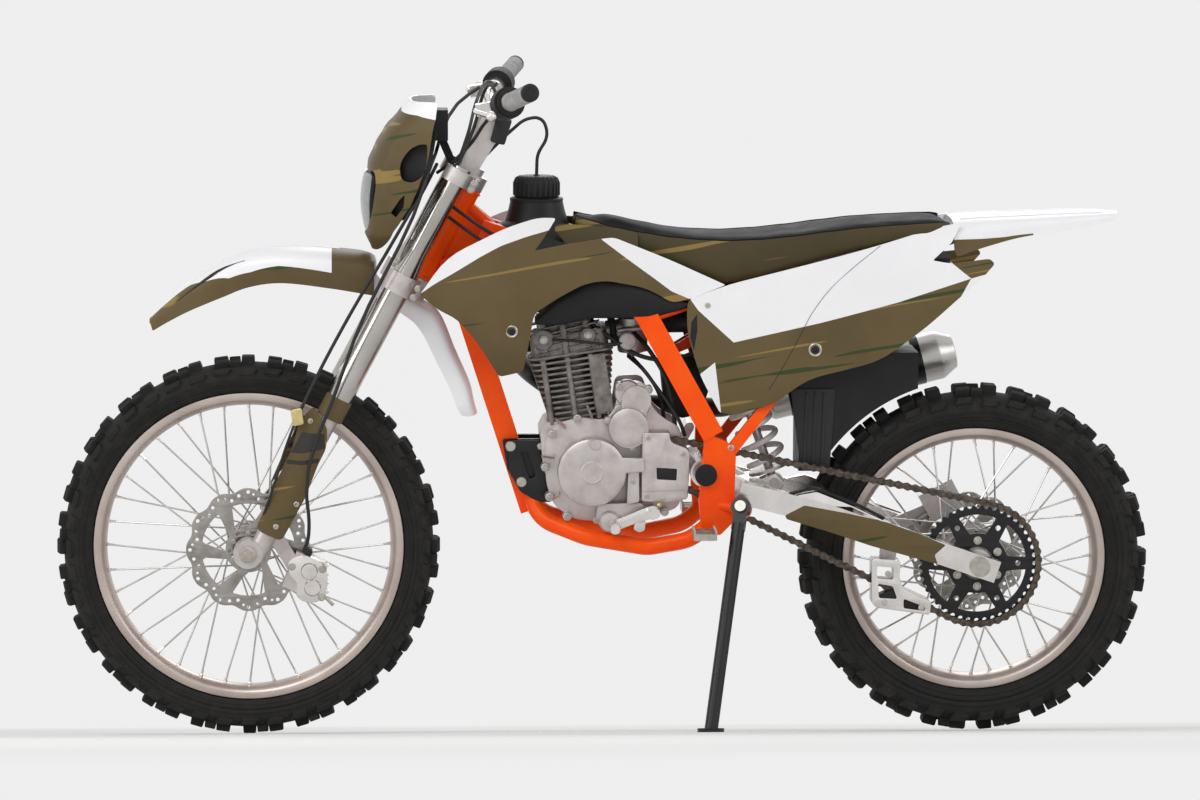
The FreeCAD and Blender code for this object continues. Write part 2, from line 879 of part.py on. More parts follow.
# Edge of the chain at a distance from its pitch line, nearer to it between the pins
def link_edge(grow):
    edge = chain_loop(0).OuterWire
    links = round(edge.Length / chain_pitch)
    places = edge.discretize(Number=2 * links + 1)[:-1]
    waist = grow - chain_waist if grow > 0 else grow + chain_waist
    middle = between(sprocket_centre, rear_centre, 0.5)
    points = []
    for k, place in enumerate(places):
        run = (places[(k + 1) % len(places)] - places[k - 1]).normalize()
        out = V(-run.z, 0, run.x)
        if out.dot(place - middle) < 0:
            out = out * -1
        points.append(place + out * (waist if k % 2 else grow))
    return Part.Face(Part.makePolygon(points + points[:1]))


def chain():
    band = link_edge(chain_height / 2).cut(link_edge(-chain_roller_radius))
    band.translate(across * (-chain_offset - chain_width / 2))
    return band.Faces[0].extrude(across * chain_width)


# Steering head, frame and subframe
def head_tube_ends():
    return -clamp_drop + lower_clamp_height / 2 + seat_gap, -upper_clamp_height / 2 - seat_gap


def head_tube_bore():
    low, high = head_tube_ends()
    return rod(fork_point(low - cut_overrun, 0), fork_point(high + cut_overrun, 0), stem_radius + fit_gap)


def frame_head():
    low, high = head_tube_ends()
    tube_body = rod(fork_point(low, 0), fork_point(high, 0), head_tube_radius)
    gusset_points = [
        fork_point(high - head_tube_radius, 0), fork_point(low + head_tube_radius, 0),
        V(head_x, 0, head_z - clamp_drop - head_tube_radius),
        V(head_x + 2 * head_tube_radius, 0, head_z - clamp_drop / 2),
    ]
    gusset = plate(gusset_points, -head_tube_radius / 2, head_tube_radius / 2)
    return fused([tube_body, gusset]).cut(head_tube_bore())


def spar_places():
    return route(spar_shares, spar_x, spar_z, spar_length, spar_rise, spar_half_spread)


def spar(grow=0):
    return beam(spar_places(), spar_height + 2 * grow, spar_depth + 2 * grow)


def pivot_plate():
    points = outline(pivot_plate_shares, pivot_plate_x, pivot_plate_z, pivot_plate_length, pivot_plate_height)
    return plate(points, -pivot_plate_inner - pivot_plate_wall, -pivot_plate_inner, outline_corner)


def stand_directions():
    foot_side = stand_side + stand_foot_out
    down = V(-stand_foot_forward, -stand_foot_out, foot_side * tan(lean) - stand_z)
    back = V(stand_fold_back, -stand_fold_out, stand_fold_up)
    hinge = down.cross(back)
    hinge.normalize()
    return down, back, hinge


stand_pivot = V(stand_x, -stand_side, stand_z)


# Tab on the frame beside the stand's eye, square to the stand's pin
def stand_tab():
    hinge = stand_directions()[2]
    seat = stand_pivot - hinge * (stand_eye_half_width + seat_gap)
    cheek = rod(seat, seat - hinge * stand_tab_wall, stand_eye_radius)
    arm_end = V(pivot_plate_x + pivot_plate_length / 2, -pivot_plate_inner - pivot_plate_wall / 2, stand_z)
    arm = rod(seat - hinge * (stand_tab_wall * 0.8), arm_end, stand_tab_wall)
    trimmed = arm.cut(rod(seat, seat + hinge * cut_overrun, stand_eye_radius * 2))
    return fused([cheek, trimmed])


def frame_spars():
    sides = fused([spar(), pivot_plate(), stand_tab()])
    right = mirrored(fused([spar(), pivot_plate()]))
    cross = rod(
        V(cross_tube_x, -pivot_plate_inner, cross_tube_z), V(cross_tube_x, pivot_plate_inner, cross_tube_z),
        cross_tube_radius,
    )
    towers = []
    tube_centre, root = V(cross_tube_x, 0, cross_tube_z), V(0, 0, cross_tube_radius / 2)
    eye, up = V(shock_top_x, 0, shock_top_z), V(0, 0, shock_eye_radius)
    inner = shock_eye_half_width + seat_gap
    for side in (-1, 1):
        low, high = sorted((side * inner, side * (inner + shock_bracket_wall)))
        towers.append(plate([
            tube_centre - root, eye - up, eye + V(shock_eye_radius, 0, 0), eye + up, tube_centre + root,
        ], low, high))
    body = fused([sides, right, cross] + towers)
    hinge = stand_directions()[2]
    reach = 2 * pivot_plate_inner
    bores = [
        disc(V(pivot_x, 0, pivot_z), pivot_bolt_radius + fit_gap, -reach, reach),
        disc(eye, pivot_bolt_radius + fit_gap, -2 * inner, 2 * inner),
        rod(stand_pivot + hinge * cut_overrun, stand_pivot - hinge * cut_overrun, stand_pin_radius + fit_gap),
    ]
    return body.cut(frame_head()).cut(Part.makeCompound(bores)).cut(head_tube_blank())


def frame_cradle():
    top = V(downtube_top_x, 0, downtube_top_z)
    low = V(downtube_low_x, 0, downtube_low_z)
    downtube = beam([top, low], downtube_height, downtube_depth)
    places = route(rail_shares, rail_x, rail_z, rail_length, rail_rise, rail_half_spread)
    rail = tube(places, rail_radius, rail_bend)
    body = fused([downtube, rail, mirrored(rail)])
    blockers = Part.makeCompound([frame_spars(), frame_head(), head_tube_blank()])
    return body.cut(blockers)


def head_tube_blank():
    low, high = head_tube_ends()
    return rod(fork_point(low, 0), fork_point(high, 0), head_tube_radius)


# Left rail of the subframe, whose end carries the rear fender
def subframe_places():
    rise = tail_z + tail_height * tail_seat_share - sheet_wall - seat_gap - subframe_radius - subframe_z
    return route(subframe_shares, subframe_x, subframe_z, subframe_length, rise, subframe_half_spread)


def strut_places():
    return route(strut_shares, strut_x, strut_z, strut_length, strut_rise, strut_half_spread)


def subframe():
    places = subframe_places()
    rail = tube(places, subframe_radius, subframe_bend)
    side = fused([rail, beam(strut_places(), strut_height, strut_depth)])
    ties = []
    for place in (places[1], places[-1] - V(subframe_radius, 0, 0)):
        ties.append(rod(place, V(place.x, -place.y, place.z), subframe_radius))
    return fused([side, mirrored(side)] + ties).cut(frame_spars())


# Fork, clamps and front axle
def clamp(along, height, ring_bore, bore_gap):
    ring = ring_bore + clamp_ring_wall
    low, high = along - height / 2, along + height / 2
    solids = [rod(fork_point(low, 0), fork_point(high, 0), clamp_boss_radius)]
    cuts = []
    for side in (-fork_half_spread, fork_half_spread):
        solids.append(rod(fork_point(low, fork_offset, side), fork_point(high, fork_offset, side), ring))
        cuts.append(rod(
            fork_point(low - cut_overrun, fork_offset, side),
            fork_point(high + cut_overrun, fork_offset, side), ring_bore + bore_gap))
    back, fore = fork_offset - ring / 2, fork_offset + ring / 2
    web = [
        fork_point(low, 0, -clamp_boss_radius), fork_point(low, 0, clamp_boss_radius),
        fork_point(low, back, fork_half_spread), fork_point(low, fore, fork_half_spread),
        fork_point(low, clamp_boss_radius, clamp_boss_radius),
        fork_point(low, clamp_boss_radius, -clamp_boss_radius),
        fork_point(low, fore, -fork_half_spread), fork_point(low, back, -fork_half_spread),
    ]
    solids.append(Part.Face(Part.makePolygon(web + web[:1])).extrude(fork_up * height))
    return fused(solids).cut(Part.makeCompound(cuts))


def triple_clamps():
    stem = rod(fork_point(-clamp_drop, 0), fork_point(0, 0), stem_radius)
    lower = clamp(-clamp_drop, lower_clamp_height, outer_tube_radius, fit_gap)
    upper = clamp(0, upper_clamp_height, neck_tube_radius, fit_gap)
    nut_low = upper_clamp_height / 2
    nut = rod(fork_point(nut_low, 0), fork_point(nut_low + stem_nut_height, 0), stem_nut_radius)
    body = fused([stem, lower, upper, nut] + risers())
    well = rod(fork_point(-upper_clamp_height, 0), fork_point(cut_overrun, 0), 2 * vent_hose_radius)
    return body.cut(well)


def fork_tube(side):
    cone_low = -clamp_drop + lower_clamp_height / 2 + seat_gap
    lower = rod(fork_point(-outer_tube_drop, fork_offset, side),
                fork_point(cone_low, fork_offset, side), outer_tube_radius)
    cone = Part.makeCone(outer_tube_radius, neck_tube_radius, tube_cone_length,
                         fork_point(cone_low, fork_offset, side), fork_up)
    neck = rod(fork_point(cone_low + tube_cone_length, fork_offset, side),
               fork_point(outer_tube_rise, fork_offset, side), neck_tube_radius)
    mouth = rod(fork_point(-outer_tube_drop - cut_overrun, fork_offset, side),
                fork_point(-outer_tube_drop + inner_tube_insert, fork_offset, side),
                inner_tube_radius + fit_gap)
    return fused([lower, cone, neck]).cut(mouth)


def fork_leg(side):
    leg = rod(fork_point(-outer_tube_drop + inner_tube_insert - seat_gap, fork_offset, side),
              fork_point(axle_along, fork_offset, side), inner_tube_radius)
    centre = front_centre + across * side
    lug = disc(centre, axle_lug_radius, -axle_lug_half_width, axle_lug_half_width)
    bore = disc(centre, front_axle_radius + fit_gap, -cut_overrun, cut_overrun)
    return fused([leg, lug]).cut(bore)


def fork_legs():
    return Part.makeCompound([fork_leg(side) for side in (-fork_half_spread, fork_half_spread)])


def fork_tubes():
    return Part.makeCompound([fork_tube(side) for side in (-fork_half_spread, fork_half_spread)])


# Guard wrapped round the front and the outer side of a fork leg
def fork_guard():
    inner_edge = fork_offset + axle_fore - guard_width
    points = [
        fork_point(-guard_top_drop - guard_length * h, inner_edge + guard_width * s) for s, h in guard_shares
    ]
    outer = -fork_half_spread - guard_half_depth
    body = plate(points, outer, -fork_half_spread + guard_half_depth)
    room = inner_tube_radius + guard_leg_gap
    start, end = -guard_top_drop + cut_overrun, -guard_top_drop - guard_length - cut_overrun
    corridor = rod(fork_point(start, fork_offset, -fork_half_spread),
                   fork_point(end, fork_offset, -fork_half_spread), room)
    back_points = [
        fork_point(start, fork_offset + room), fork_point(start, fork_offset - 3 * room),
        fork_point(end, fork_offset - 3 * room), fork_point(end, fork_offset + room),
    ]
    back = plate(back_points, outer + guard_wall, cut_overrun - fork_half_spread)
    return body.cut(Part.makeCompound([corridor, back]))


def front_axle():
    reach = fork_half_spread + axle_lug_half_width
    head = disc(front_centre, front_axle_radius * 1.5, reach, reach + bolt_height)
    return fused([disc(front_centre, front_axle_radius, -reach - bolt_height, reach), head])


# Caliper over a disc, with an arm to its mount
def caliper(centre, disc_radius, offset, angle, mount, arm_low, arm_high):
    reaches = (caliper_half_depth, caliper_inner_depth)
    below, above = reaches if offset < 0 else reversed(reaches)
    low, high = offset - below, offset + above
    span = caliper_half_span
    body = Part.makeBox(caliper_outer_radius - caliper_inner_radius, high - low, 2 * span,
                        V(caliper_inner_radius, low, -span))
    body.rotate(V(0, 0, 0), across, -angle)
    body.translate(centre)
    gap = disc_wall / 2 + caliper_face_gap
    slot = disc(centre, disc_radius + run_gap, offset - gap, offset + gap)
    outward = V(cos(radians(angle)), 0, sin(radians(angle)))
    middle = (arm_low + arm_high) / 2
    reach = (caliper_inner_radius + disc_radius) / 2
    start = centre + outward * reach + across * middle
    arm = beam([start, V(mount.x, middle, mount.z)], caliper_arm_width, arm_high - arm_low)
    return fused([body.cut(slot), arm])


def front_caliper():
    mount = fork_point(axle_along + 2 * axle_lug_radius, fork_offset - inner_tube_radius / 2)
    outer = -front_disc_offset - caliper_half_depth
    body = caliper(front_centre, front_disc_radius, -front_disc_offset, front_caliper_angle, mount,
                   outer, outer + caliper_arm_depth)
    return body.cut(rod(fork_point(axle_along, fork_offset, -fork_half_spread),
                        fork_point(-outer_tube_drop, fork_offset, -fork_half_spread),
                        inner_tube_radius + seat_gap))


# Handlebar and its controls
def bar_point(side, x, z):
    return V(bar_x + x, side, bar_z + z)


def bar_line(side):
    return [
        bar_point(side * bar_flat_half, 0, 0), bar_point(side * bar_rise_side, bar_rise_x, bar_rise_z),
        bar_point(side * bar_end_side, bar_end_x, bar_end_z),
    ]


def handlebar():
    left, right = bar_line(-1), bar_line(1)
    return tube(list(reversed(left)) + right, bar_radius, bar_bend)


def risers():
    solids = []
    rise = (V(bar_x, 0, bar_z) - fork_point(0, 0)).dot(fork_up)
    fore = (V(bar_x, 0, bar_z) - fork_point(0, 0)).dot(fork_fore)
    top = rise + bar_radius + riser_cap
    half = riser_depth / 2
    for side in (-riser_side, riser_side):
        low, high = side - riser_width / 2, side + riser_width / 2
        points = [
            fork_point(0, 0), fork_point(0, riser_depth),
            fork_point(rise - bar_radius, fore + half + riser_cap / 2), fork_point(top, fore + half),
            fork_point(top, fore - half), fork_point(rise - bar_radius, fore - half - riser_cap / 2),
        ]
        bore = disc(V(bar_x, 0, bar_z), bar_radius + fit_gap, low - cut_overrun, high + cut_overrun)
        solids.append(plate(points, low, high).cut(bore))
    return solids


def along_grip(side, distance):
    start, end = bar_line(side)[1:]
    run = (end - start).normalize()
    return end - run * distance


def grip(side):
    inner = along_grip(side, grip_length)
    outer = along_grip(side, -grip_end_wall)
    body = rod(inner, outer, grip_radius)
    flange = rod(inner, along_grip(side, grip_length - grip_flange_wall), grip_flange_radius)
    bore = rod(along_grip(side, grip_length + cut_overrun), along_grip(side, -seat_gap), bar_radius + fit_gap)
    return fused([body, flange]).cut(bore)


def grips():
    return Part.makeCompound([grip(-1), grip(1)])


# Gauge behind the headlight mask, on an arm from the upper clamp
def gauge():
    body = box(V(gauge_x, -gauge_half_width, gauge_z),
               V(gauge_x + gauge_length, gauge_half_width, gauge_z + gauge_height))
    foot = fork_point(upper_clamp_height / 2 - gauge_arm_height, clamp_boss_radius)
    top = V(gauge_x + gauge_length / 2, 0, gauge_z + gauge_arm_height)
    return fused([body, beam([foot, top], gauge_arm_height, gauge_arm_depth)]).cut(triple_clamps())


# Gauge, and the round housings just inside the grips
def switchgear():
    solids = [gauge()]
    for side in (-1, 1):
        start = grip_length + seat_gap
        body = rod(along_grip(side, start), along_grip(side, start + housing_length), housing_radius)
        bore = rod(along_grip(side, start - cut_overrun), along_grip(side, start + 2 * cut_overrun),
                   bar_radius + fit_gap)
        solids.append(body.cut(bore))
    return Part.makeCompound(solids)


# Perches with their levers, ahead of the grips
def hand_levers():
    solids = []
    for side in (-1, 1):
        start = grip_length + 2 * seat_gap + housing_length
        perch = rod(along_grip(side, start), along_grip(side, start + perch_length), perch_radius)
        middle = along_grip(side, start + perch_length / 2)
        front = middle + V(-lever_reach * 0.7, 0, -lever_drop * 0.4)
        bracket = beam([middle, front], lever_height * 1.5, perch_length * 0.7)
        tip = along_grip(side, 0) + V(-lever_reach, 0, -lever_drop * 2)
        bend = along_grip(side, grip_length * 0.8) + V(-lever_reach, 0, -lever_drop)
        blade = tube([front, bend, tip], lever_depth / 2, lever_reach)
        ball = Part.makeSphere(lever_ball_radius, tip)
        bore = rod(along_grip(side, start - cut_overrun), along_grip(side, start + 2 * cut_overrun),
                   bar_radius + fit_gap)
        solids.append(fused([perch, bracket, blade, ball]).cut(bore))
    return Part.makeCompound(solids)


# Bodywork walls, curved in plan: a strip of thick wall cut by the side outline
def plan_wall(places, low, high):
    inner = [V(x, -reach + sheet_wall, low) for x, reach in places]
    outer = [V(x, -reach, low) for x, reach in reversed(places)]
    points = inner + outer
    return Part.Face(Part.makePolygon(points + points[:1])).extrude(V(0, 0, high - low))


# How far out such a wall stands at one place along the bike
def plan_reach(places, x):
    for (near_x, near), (far_x, far) in zip(places, places[1:]):
        if near_x <= x <= far_x:
            return near + (far - near) * (x - near_x) / (far_x - near_x)
    return places[-1][1]


def shroud_left():
    points = outline(shroud_shares, shroud_x, shroud_z, shroud_length, shroud_height)
    block = plate(points, -2 * shroud_reach, 0, outline_corner)
    places = [(shroud_x + shroud_length * s, shroud_reach * r) for s, r in shroud_plan_shares]
    places += [(panel_x - outline_corner, shroud_tuck), (shroud_x + shroud_length + cut_overrun, shroud_tuck)]
    wall = block.common(plan_wall(places, shroud_z - cut_overrun, shroud_z + shroud_height + cut_overrun))
    root = plan_reach(places, shroud_boss_x) - sheet_wall / 2
    boss = disc(V(shroud_boss_x, 0, shroud_boss_z), shroud_boss_radius, -root, -tank_half_width * 0.85)
    return fused([wall, boss.cut(fuel_tank())])


def side_panel_left():
    points = outline(panel_shares, panel_x, panel_z, panel_length, panel_height)
    block = plate(points, -2 * panel_reach, 0, outline_corner)
    front_reach = shroud_tuck + sheet_wall + seat_gap
    places = [
        (panel_x - cut_overrun, front_reach), (shroud_x + shroud_length, front_reach),
        (panel_x + panel_length / 2, panel_reach), (panel_x + panel_length + cut_overrun, panel_tail_reach),
    ]
    solids = [block.common(plan_wall(places, panel_z - cut_overrun, panel_z + panel_height + cut_overrun))]
    rail, strut = subframe_places(), strut_places()
    for at in (between(rail[0], rail[1], panel_rail_share), between(strut[1], strut[2], panel_strut_share)):
        root = plan_reach(places, at.x) - sheet_wall / 2
        boss = disc(V(at.x, 0, at.z), panel_boss_radius, -root, at.y)
        solids.append(boss.cut(subframe()))
    return fused(solids)


# Ring that is open below, for the seat's skirt and for fenders
def arch_ring(place, normal, half, drop, wall, crown):
    lean_in = half * 0.82
    outer = [
        (-half, -drop), (-half, -drop * 0.35), (-lean_in, -drop * 0.1), (-lean_in * 0.5, crown * 0.7),
        (0, crown),
    ]
    inner_half = half - wall
    inner_lean = lean_in - wall
    inner = [
        (0, crown - wall), (-inner_lean * 0.5, crown * 0.7 - wall), (-inner_lean, -drop * 0.1 - wall),
        (-inner_half, -drop * 0.35 - wall), (-inner_half, -drop),
    ]
    ring = outer + [(-s, h) for s, h in reversed(outer[:-1])]
    ring += [(-s, h) for s, h in reversed(inner)] + inner[1:]
    return [place + across * s + normal * h for s, h in ring]


def arch_rings(shares, x, z, length, height, half_width, crown):
    rings = []
    for s, w, low, high in shares:
        place = V(x + length * s, 0, z + height * high)
        drop = height * (high - low)
        rings.append(arch_ring(place, V(0, 0, 1), half_width * w, drop, sheet_wall, crown * w))
    return rings


def seat():
    rings = []
    for s, w, low, high in seat_shares:
        half = seat_half_width * w
        x, top, bottom = seat_x + seat_length * s, seat_z + seat_height * high, seat_z + seat_height * low
        under = top - min(seat_pad, (top - bottom) * seat_core_share)
        edge = (top - under) / 2
        inner = half - seat_side_wall
        ring = [
            (-half, bottom), (-half, top - edge), (-half * 0.8, top - edge * 0.2), (0, top),
            (half * 0.8, top - edge * 0.2), (half, top - edge), (half, bottom),
            (inner, bottom), (inner, under), (-inner, under), (-inner, bottom),
        ]
        rings.append([V(x, side, height) for side, height in ring])
    return ruled_body(rings)


def fuel_tank():
    rings = []
    for s, w, low, high in tank_shares:
        half = tank_half_width * w
        x, top, bottom = tank_x + tank_length * s, tank_z + tank_height * high, tank_z + tank_height * low
        rise = top - bottom
        right = [
            (half * 0.5, top), (half * 0.92, bottom + rise * 0.7), (half, bottom + rise * 0.35),
            (half * 0.8, bottom),
        ]
        ring = [(-side, height) for side, height in reversed(right)] + right
        rings.append([V(x, side, height) for side, height in ring])
    body = ruled_body(rings)
    neck_base = V(tank_neck_x, 0, tank_neck_z)
    neck = Part.makeCone(tank_neck_radius, tank_mouth_radius, tank_neck_height, neck_base)
    near, far = tank_x - cut_overrun, tank_x + tank_length + cut_overrun
    places = spar_places()
    tunnel_half = -places[1].y + spar_depth / 2
    tunnel = plate([
        V(near, 0, places[0].z + spar_height / 2), V(places[2].x, 0, places[2].z + spar_height / 2),
        V(far, 0, tank_z + tank_height * 0.4), V(far, 0, tank_z - cut_overrun),
        V(near, 0, tank_z - cut_overrun),
    ], -tunnel_half, tunnel_half)
    return fused([body, neck]).cut(tunnel).cut(both_sides(spar(seat_gap)))


def fuel_cap():
    base = V(tank_neck_x, 0, tank_neck_z + tank_neck_height + seat_gap)
    solids = [Part.makeCylinder(cap_radius - cap_rib_radius / 2, cap_height, base)]
    for k in range(cap_ribs):
        angle = 2 * pi * k / cap_ribs
        at = base + V(cos(angle), sin(angle), 0) * (cap_radius - cap_rib_radius)
        solids.append(Part.makeCylinder(cap_rib_radius, cap_height * 0.8, at))
    return fused(solids)


def rear_fender():
    return ruled_body(arch_rings(tail_shares, tail_x, tail_z, tail_length, tail_height, tail_half_width, 0))


# Front fender: the blade ahead of the fork, its seat under the clamp and the flap behind
def front_fender():
    rings = arch_rings(fender_shares, fender_x, fender_z, fender_length, fender_height, fender_half_width,
                       sheet_wall)
    under = -clamp_drop - lower_clamp_height / 2 - seat_gap
    places = [fork_point(under - flap_drop * d, flap_sweep * f) for d, f, w, depth in flap_shares]
    crown = sheet_wall / 2
    for i, (d, f, w, depth) in enumerate(flap_shares):
        run = (places[min(i + 1, len(places) - 1)] - places[max(i - 1, 0)]).normalize()
        normal = V(-run.z, 0, run.x)
        rings.append(arch_ring(places[i] - normal * crown, normal, flap_half_width * w, flap_depth * depth,
                               sheet_wall, crown))
    return ruled_body(rings)


def headlight_mask():
    rings = []
    for h, front, back, w in mask_shares:
        z = mask_z + mask_height * h
        x_front, x_back = mask_x + mask_length * front, mask_x + mask_length * back
        half = mask_half_width * w
        x_brow, x_cheek = between(x_front, x_back, 0.04), between(x_front, x_back, 0.3)
        side = [(0, x_front), (half * 0.5, x_brow), (half * 0.86, x_cheek), (half, x_back)]
        inner = [
            (half - sheet_wall, x_back), (half * 0.86 - sheet_wall, x_cheek + sheet_wall),
            (half * 0.5 - sheet_wall / 2, x_brow + sheet_wall), (0, x_front + sheet_wall),
        ]
        right = side + inner
        left = [(-s, x) for s, x in reversed(right[1:-1])]
        rings.append([V(x, s, z) for s, x in right + left])
    shell = ruled_body(rings)
    half = lens_half_width + seat_gap
    window = box(V(mask_x - cut_overrun, -half, lens_z - seat_gap),
                 V(lens_x + lens_length + cut_overrun, half, lens_z + lens_height + seat_gap))
    clip = mask_clip()
    return fused([shell.cut(window), clip, mirrored(clip)])


# Clip inside the mask's rear edge that seats on the front of a fork tube
def mask_clip():
    low = mask_z + mask_height * mask_clip_share
    along = (low - head_z - fork_offset * sin(rake)) / cos(rake)
    tube_x = fork_point(along, fork_offset).x
    edge = mask_half_width * mask_shares[2][3] - sheet_wall / 2
    clip = box(V(mask_x + mask_length / 2, -edge, low),
               V(tube_x, -fork_half_spread + mask_clip_depth, low + mask_clip_height))
    return clip.cut(rod(fork_point(-clamp_drop, fork_offset, -fork_half_spread),
                        fork_point(cut_overrun, fork_offset, -fork_half_spread), neck_tube_radius + seat_gap))


def headlight_lens():
    points = outline(lens_shares, lens_x, lens_z, lens_length, lens_height)
    return plate(points, -lens_half_width, lens_half_width)


# Engine
def crankcase():
    points = outline(case_shares, case_x, case_z, case_length, case_height)
    crank = V(crank_x, 0, crank_z)
    clutch = V(clutch_x, 0, clutch_z)
    core = plate(points, -case_left, case_right, outline_corner)
    magneto = disc(crank, magneto_radius, -magneto_reach, -case_left)
    boss = disc(crank, magneto_boss_radius, -magneto_reach - magneto_boss_wall, -magneto_reach)
    plug = disc(crank + V(0, 0, magneto_radius * 0.86), magneto_plug_radius,
                -magneto_reach - magneto_boss_wall, -magneto_reach)
    starter = disc(V(starter_x, 0, starter_z), starter_radius, -starter_reach, 0)
    gear = disc(V(starter_gear_x, 0, starter_gear_z), starter_gear_radius, -starter_gear_reach, 0)
    cover = disc(clutch, clutch_radius, case_right, clutch_reach)
    cap = disc(clutch, clutch_radius * 0.7, clutch_reach, clutch_reach + magneto_boss_wall)
    room_radius = front_pitch_radius + chain_height / 2 + tooth_gap
    room = disc(sprocket_centre, room_radius, -chain_offset - chain_width, -chain_offset + chain_width)
    return fused([core, magneto, boss, plug, starter, gear, cover, cap]).cut(room)


def sprocket_cover():
    points = outline(sprocket_cover_shares, sprocket_cover_x, sprocket_cover_z, sprocket_cover_length,
                     sprocket_cover_height)
    inner = sprocket_cover_wall - sprocket_cover_reach
    face = plate(points, -sprocket_cover_reach, inner, outline_corner / 2)
    wall_top = sprocket_cover_z + sprocket_cover_height / 3
    wall = box(V(sprocket_cover_x, -sprocket_cover_reach, sprocket_cover_z + outline_corner),
               V(sprocket_cover_x + sprocket_cover_wall, -case_left, wall_top))
    crank = V(crank_x, 0, crank_z)
    blockers = [
        disc(crank, magneto_radius + seat_gap, -2 * magneto_reach, 0),
        disc(V(starter_x, 0, starter_z), starter_radius + seat_gap, -2 * starter_reach, 0),
    ]
    return fused([face, wall]).cut(Part.makeCompound(blockers))


def front_sprocket():
    body = sprocket(sprocket_centre, front_pitch_radius, front_teeth, stem_radius, False)
    shaft = disc(sprocket_centre, stem_radius, -chain_offset - sprocket_wall, -case_left - seat_gap)
    return body.fuse(shaft).removeSplitter()


def cylinder_axis():
    tilt = radians(cylinder_tilt)
    return V(-sin(tilt), 0, cos(tilt))


# Rectangle of fin or head metal square to the cylinder's axis
def cylinder_slab(height, thickness, half_length, half_depth):
    up = cylinder_axis()
    along = V(up.z, 0, -up.x)
    middle = V(cylinder_x, 0, cylinder_z) + up * height
    near, far = middle - along * half_length, middle + along * half_length
    depth = across * half_depth
    corners = [near - depth, far - depth, far + depth, near + depth]
    return Part.Face(Part.Wire(bent_edges(corners, outline_corner * 2, True))).extrude(up * thickness)


def cylinder():
    base = V(cylinder_x, 0, cylinder_z)
    up = cylinder_axis()
    solids = [rod(base - up * fin_wall, base + up * cylinder_height, cylinder_core_radius)]
    pitch = (cylinder_height - fin_wall) / (fin_count - 1)
    for k in range(fin_count):
        share = k / (fin_count - 1)
        length = fin_low_half_length + (fin_high_half_length - fin_low_half_length) * share
        depth = fin_low_half_depth + (fin_high_half_depth - fin_low_half_depth) * share
        solids.append(cylinder_slab(pitch * k, fin_wall, length, depth))
    return fused(solids).cut(crankcase())


def cylinder_head():
    start = cylinder_height + seat_gap
    base = cylinder_slab(start, head_height * 0.55, head_half_length, head_half_depth)
    half = head_height / 2
    cover = cylinder_slab(start + half, half, head_half_length * 0.72, head_half_depth * 0.8)
    return fused([base, cover])


def engine_plates():
    points = outline(engine_plate_shares, engine_plate_x, engine_plate_z,
                     engine_plate_length, engine_plate_height)
    left = plate(points, -engine_plate_side - engine_plate_wall, -engine_plate_side, outline_corner / 2)
    body = both_sides(left)
    return body.cut(frame_cradle()).cut(crankcase())


# Intake and exhaust, which share one line through the head
def intake_places():
    up = cylinder_axis()
    along = V(up.z, 0, -up.x)
    port = V(cylinder_x, 0, cylinder_z) + up * (cylinder_height + head_height * port_share)
    return port + along * head_half_length, along


def carburettor():
    port, along = intake_places()
    start = port + along * seat_gap
    throat = rod(start, start + along * carb_radius * 3.4, carb_radius * 0.65)
    middle = start + along * carb_radius * 1.8
    bowl = rod(middle - V(0, 0, carb_bowl_depth), middle + V(0, 0, carb_bowl_depth * 0.8), carb_radius)
    return fused([throat, bowl])


def intake_boot():
    port, along = intake_places()
    start = port + along * (carb_radius * 3.4 + 2 * seat_gap)
    mouth = V(airbox_x - seat_gap, -airbox_mouth_side, airbox_z + airbox_height * 0.35)
    return tube([
        start, start + along * port_run, start + along * (4 * port_run) - across * boot_turn,
        V(boot_knee_x, -boot_knee_side, boot_knee_z), mouth - V(3 * port_run, 0, 0), mouth,
    ], boot_radius, boot_bend)


def airbox():
    body = box(V(airbox_x, -airbox_half_width, airbox_z),
               V(airbox_x + airbox_length, airbox_half_width, airbox_z + airbox_height))
    guard = box(V(airbox_x, -mud_guard_half_width, airbox_z - mud_guard_height),
                V(airbox_x + mud_guard_length, mud_guard_half_width, airbox_z))
    room = disc(rear_centre, rear_tyre_radius + mud_guard_gap, -airbox_half_width, airbox_half_width)
    return fused([body, guard.cut(room)]).cut(subframe())


def silencer_axis():
    start = V(silencer_x, silencer_side, silencer_z)
    return start, V(sqrt(silencer_length ** 2 - silencer_rise ** 2), 0, silencer_rise).normalize()


def exhaust_pipe():
    intake, along = intake_places()
    port = intake - along * (2 * head_half_length + seat_gap)
    start, run = silencer_axis()
    turn = port - along * (2 * port_run) + V(0, pipe_turn, -pipe_fall)
    sweep = [V(p.x, -p.y, p.z) for p in route(pipe_shares, pipe_x, pipe_z, pipe_length, pipe_rise, pipe_side)]
    return tube([port, port - along * port_run, turn] + sweep + [
        start - run * (4 * port_run), start - run * seat_gap,
    ], pipe_radius, pipe_bend)


def silencer():
    start, run = silencer_axis()
    end = start + run * silencer_length
    tip = rod(end, end + run * silencer_tip_length, silencer_tip_radius)
    return fused([rod(start, end, silencer_radius), tip])


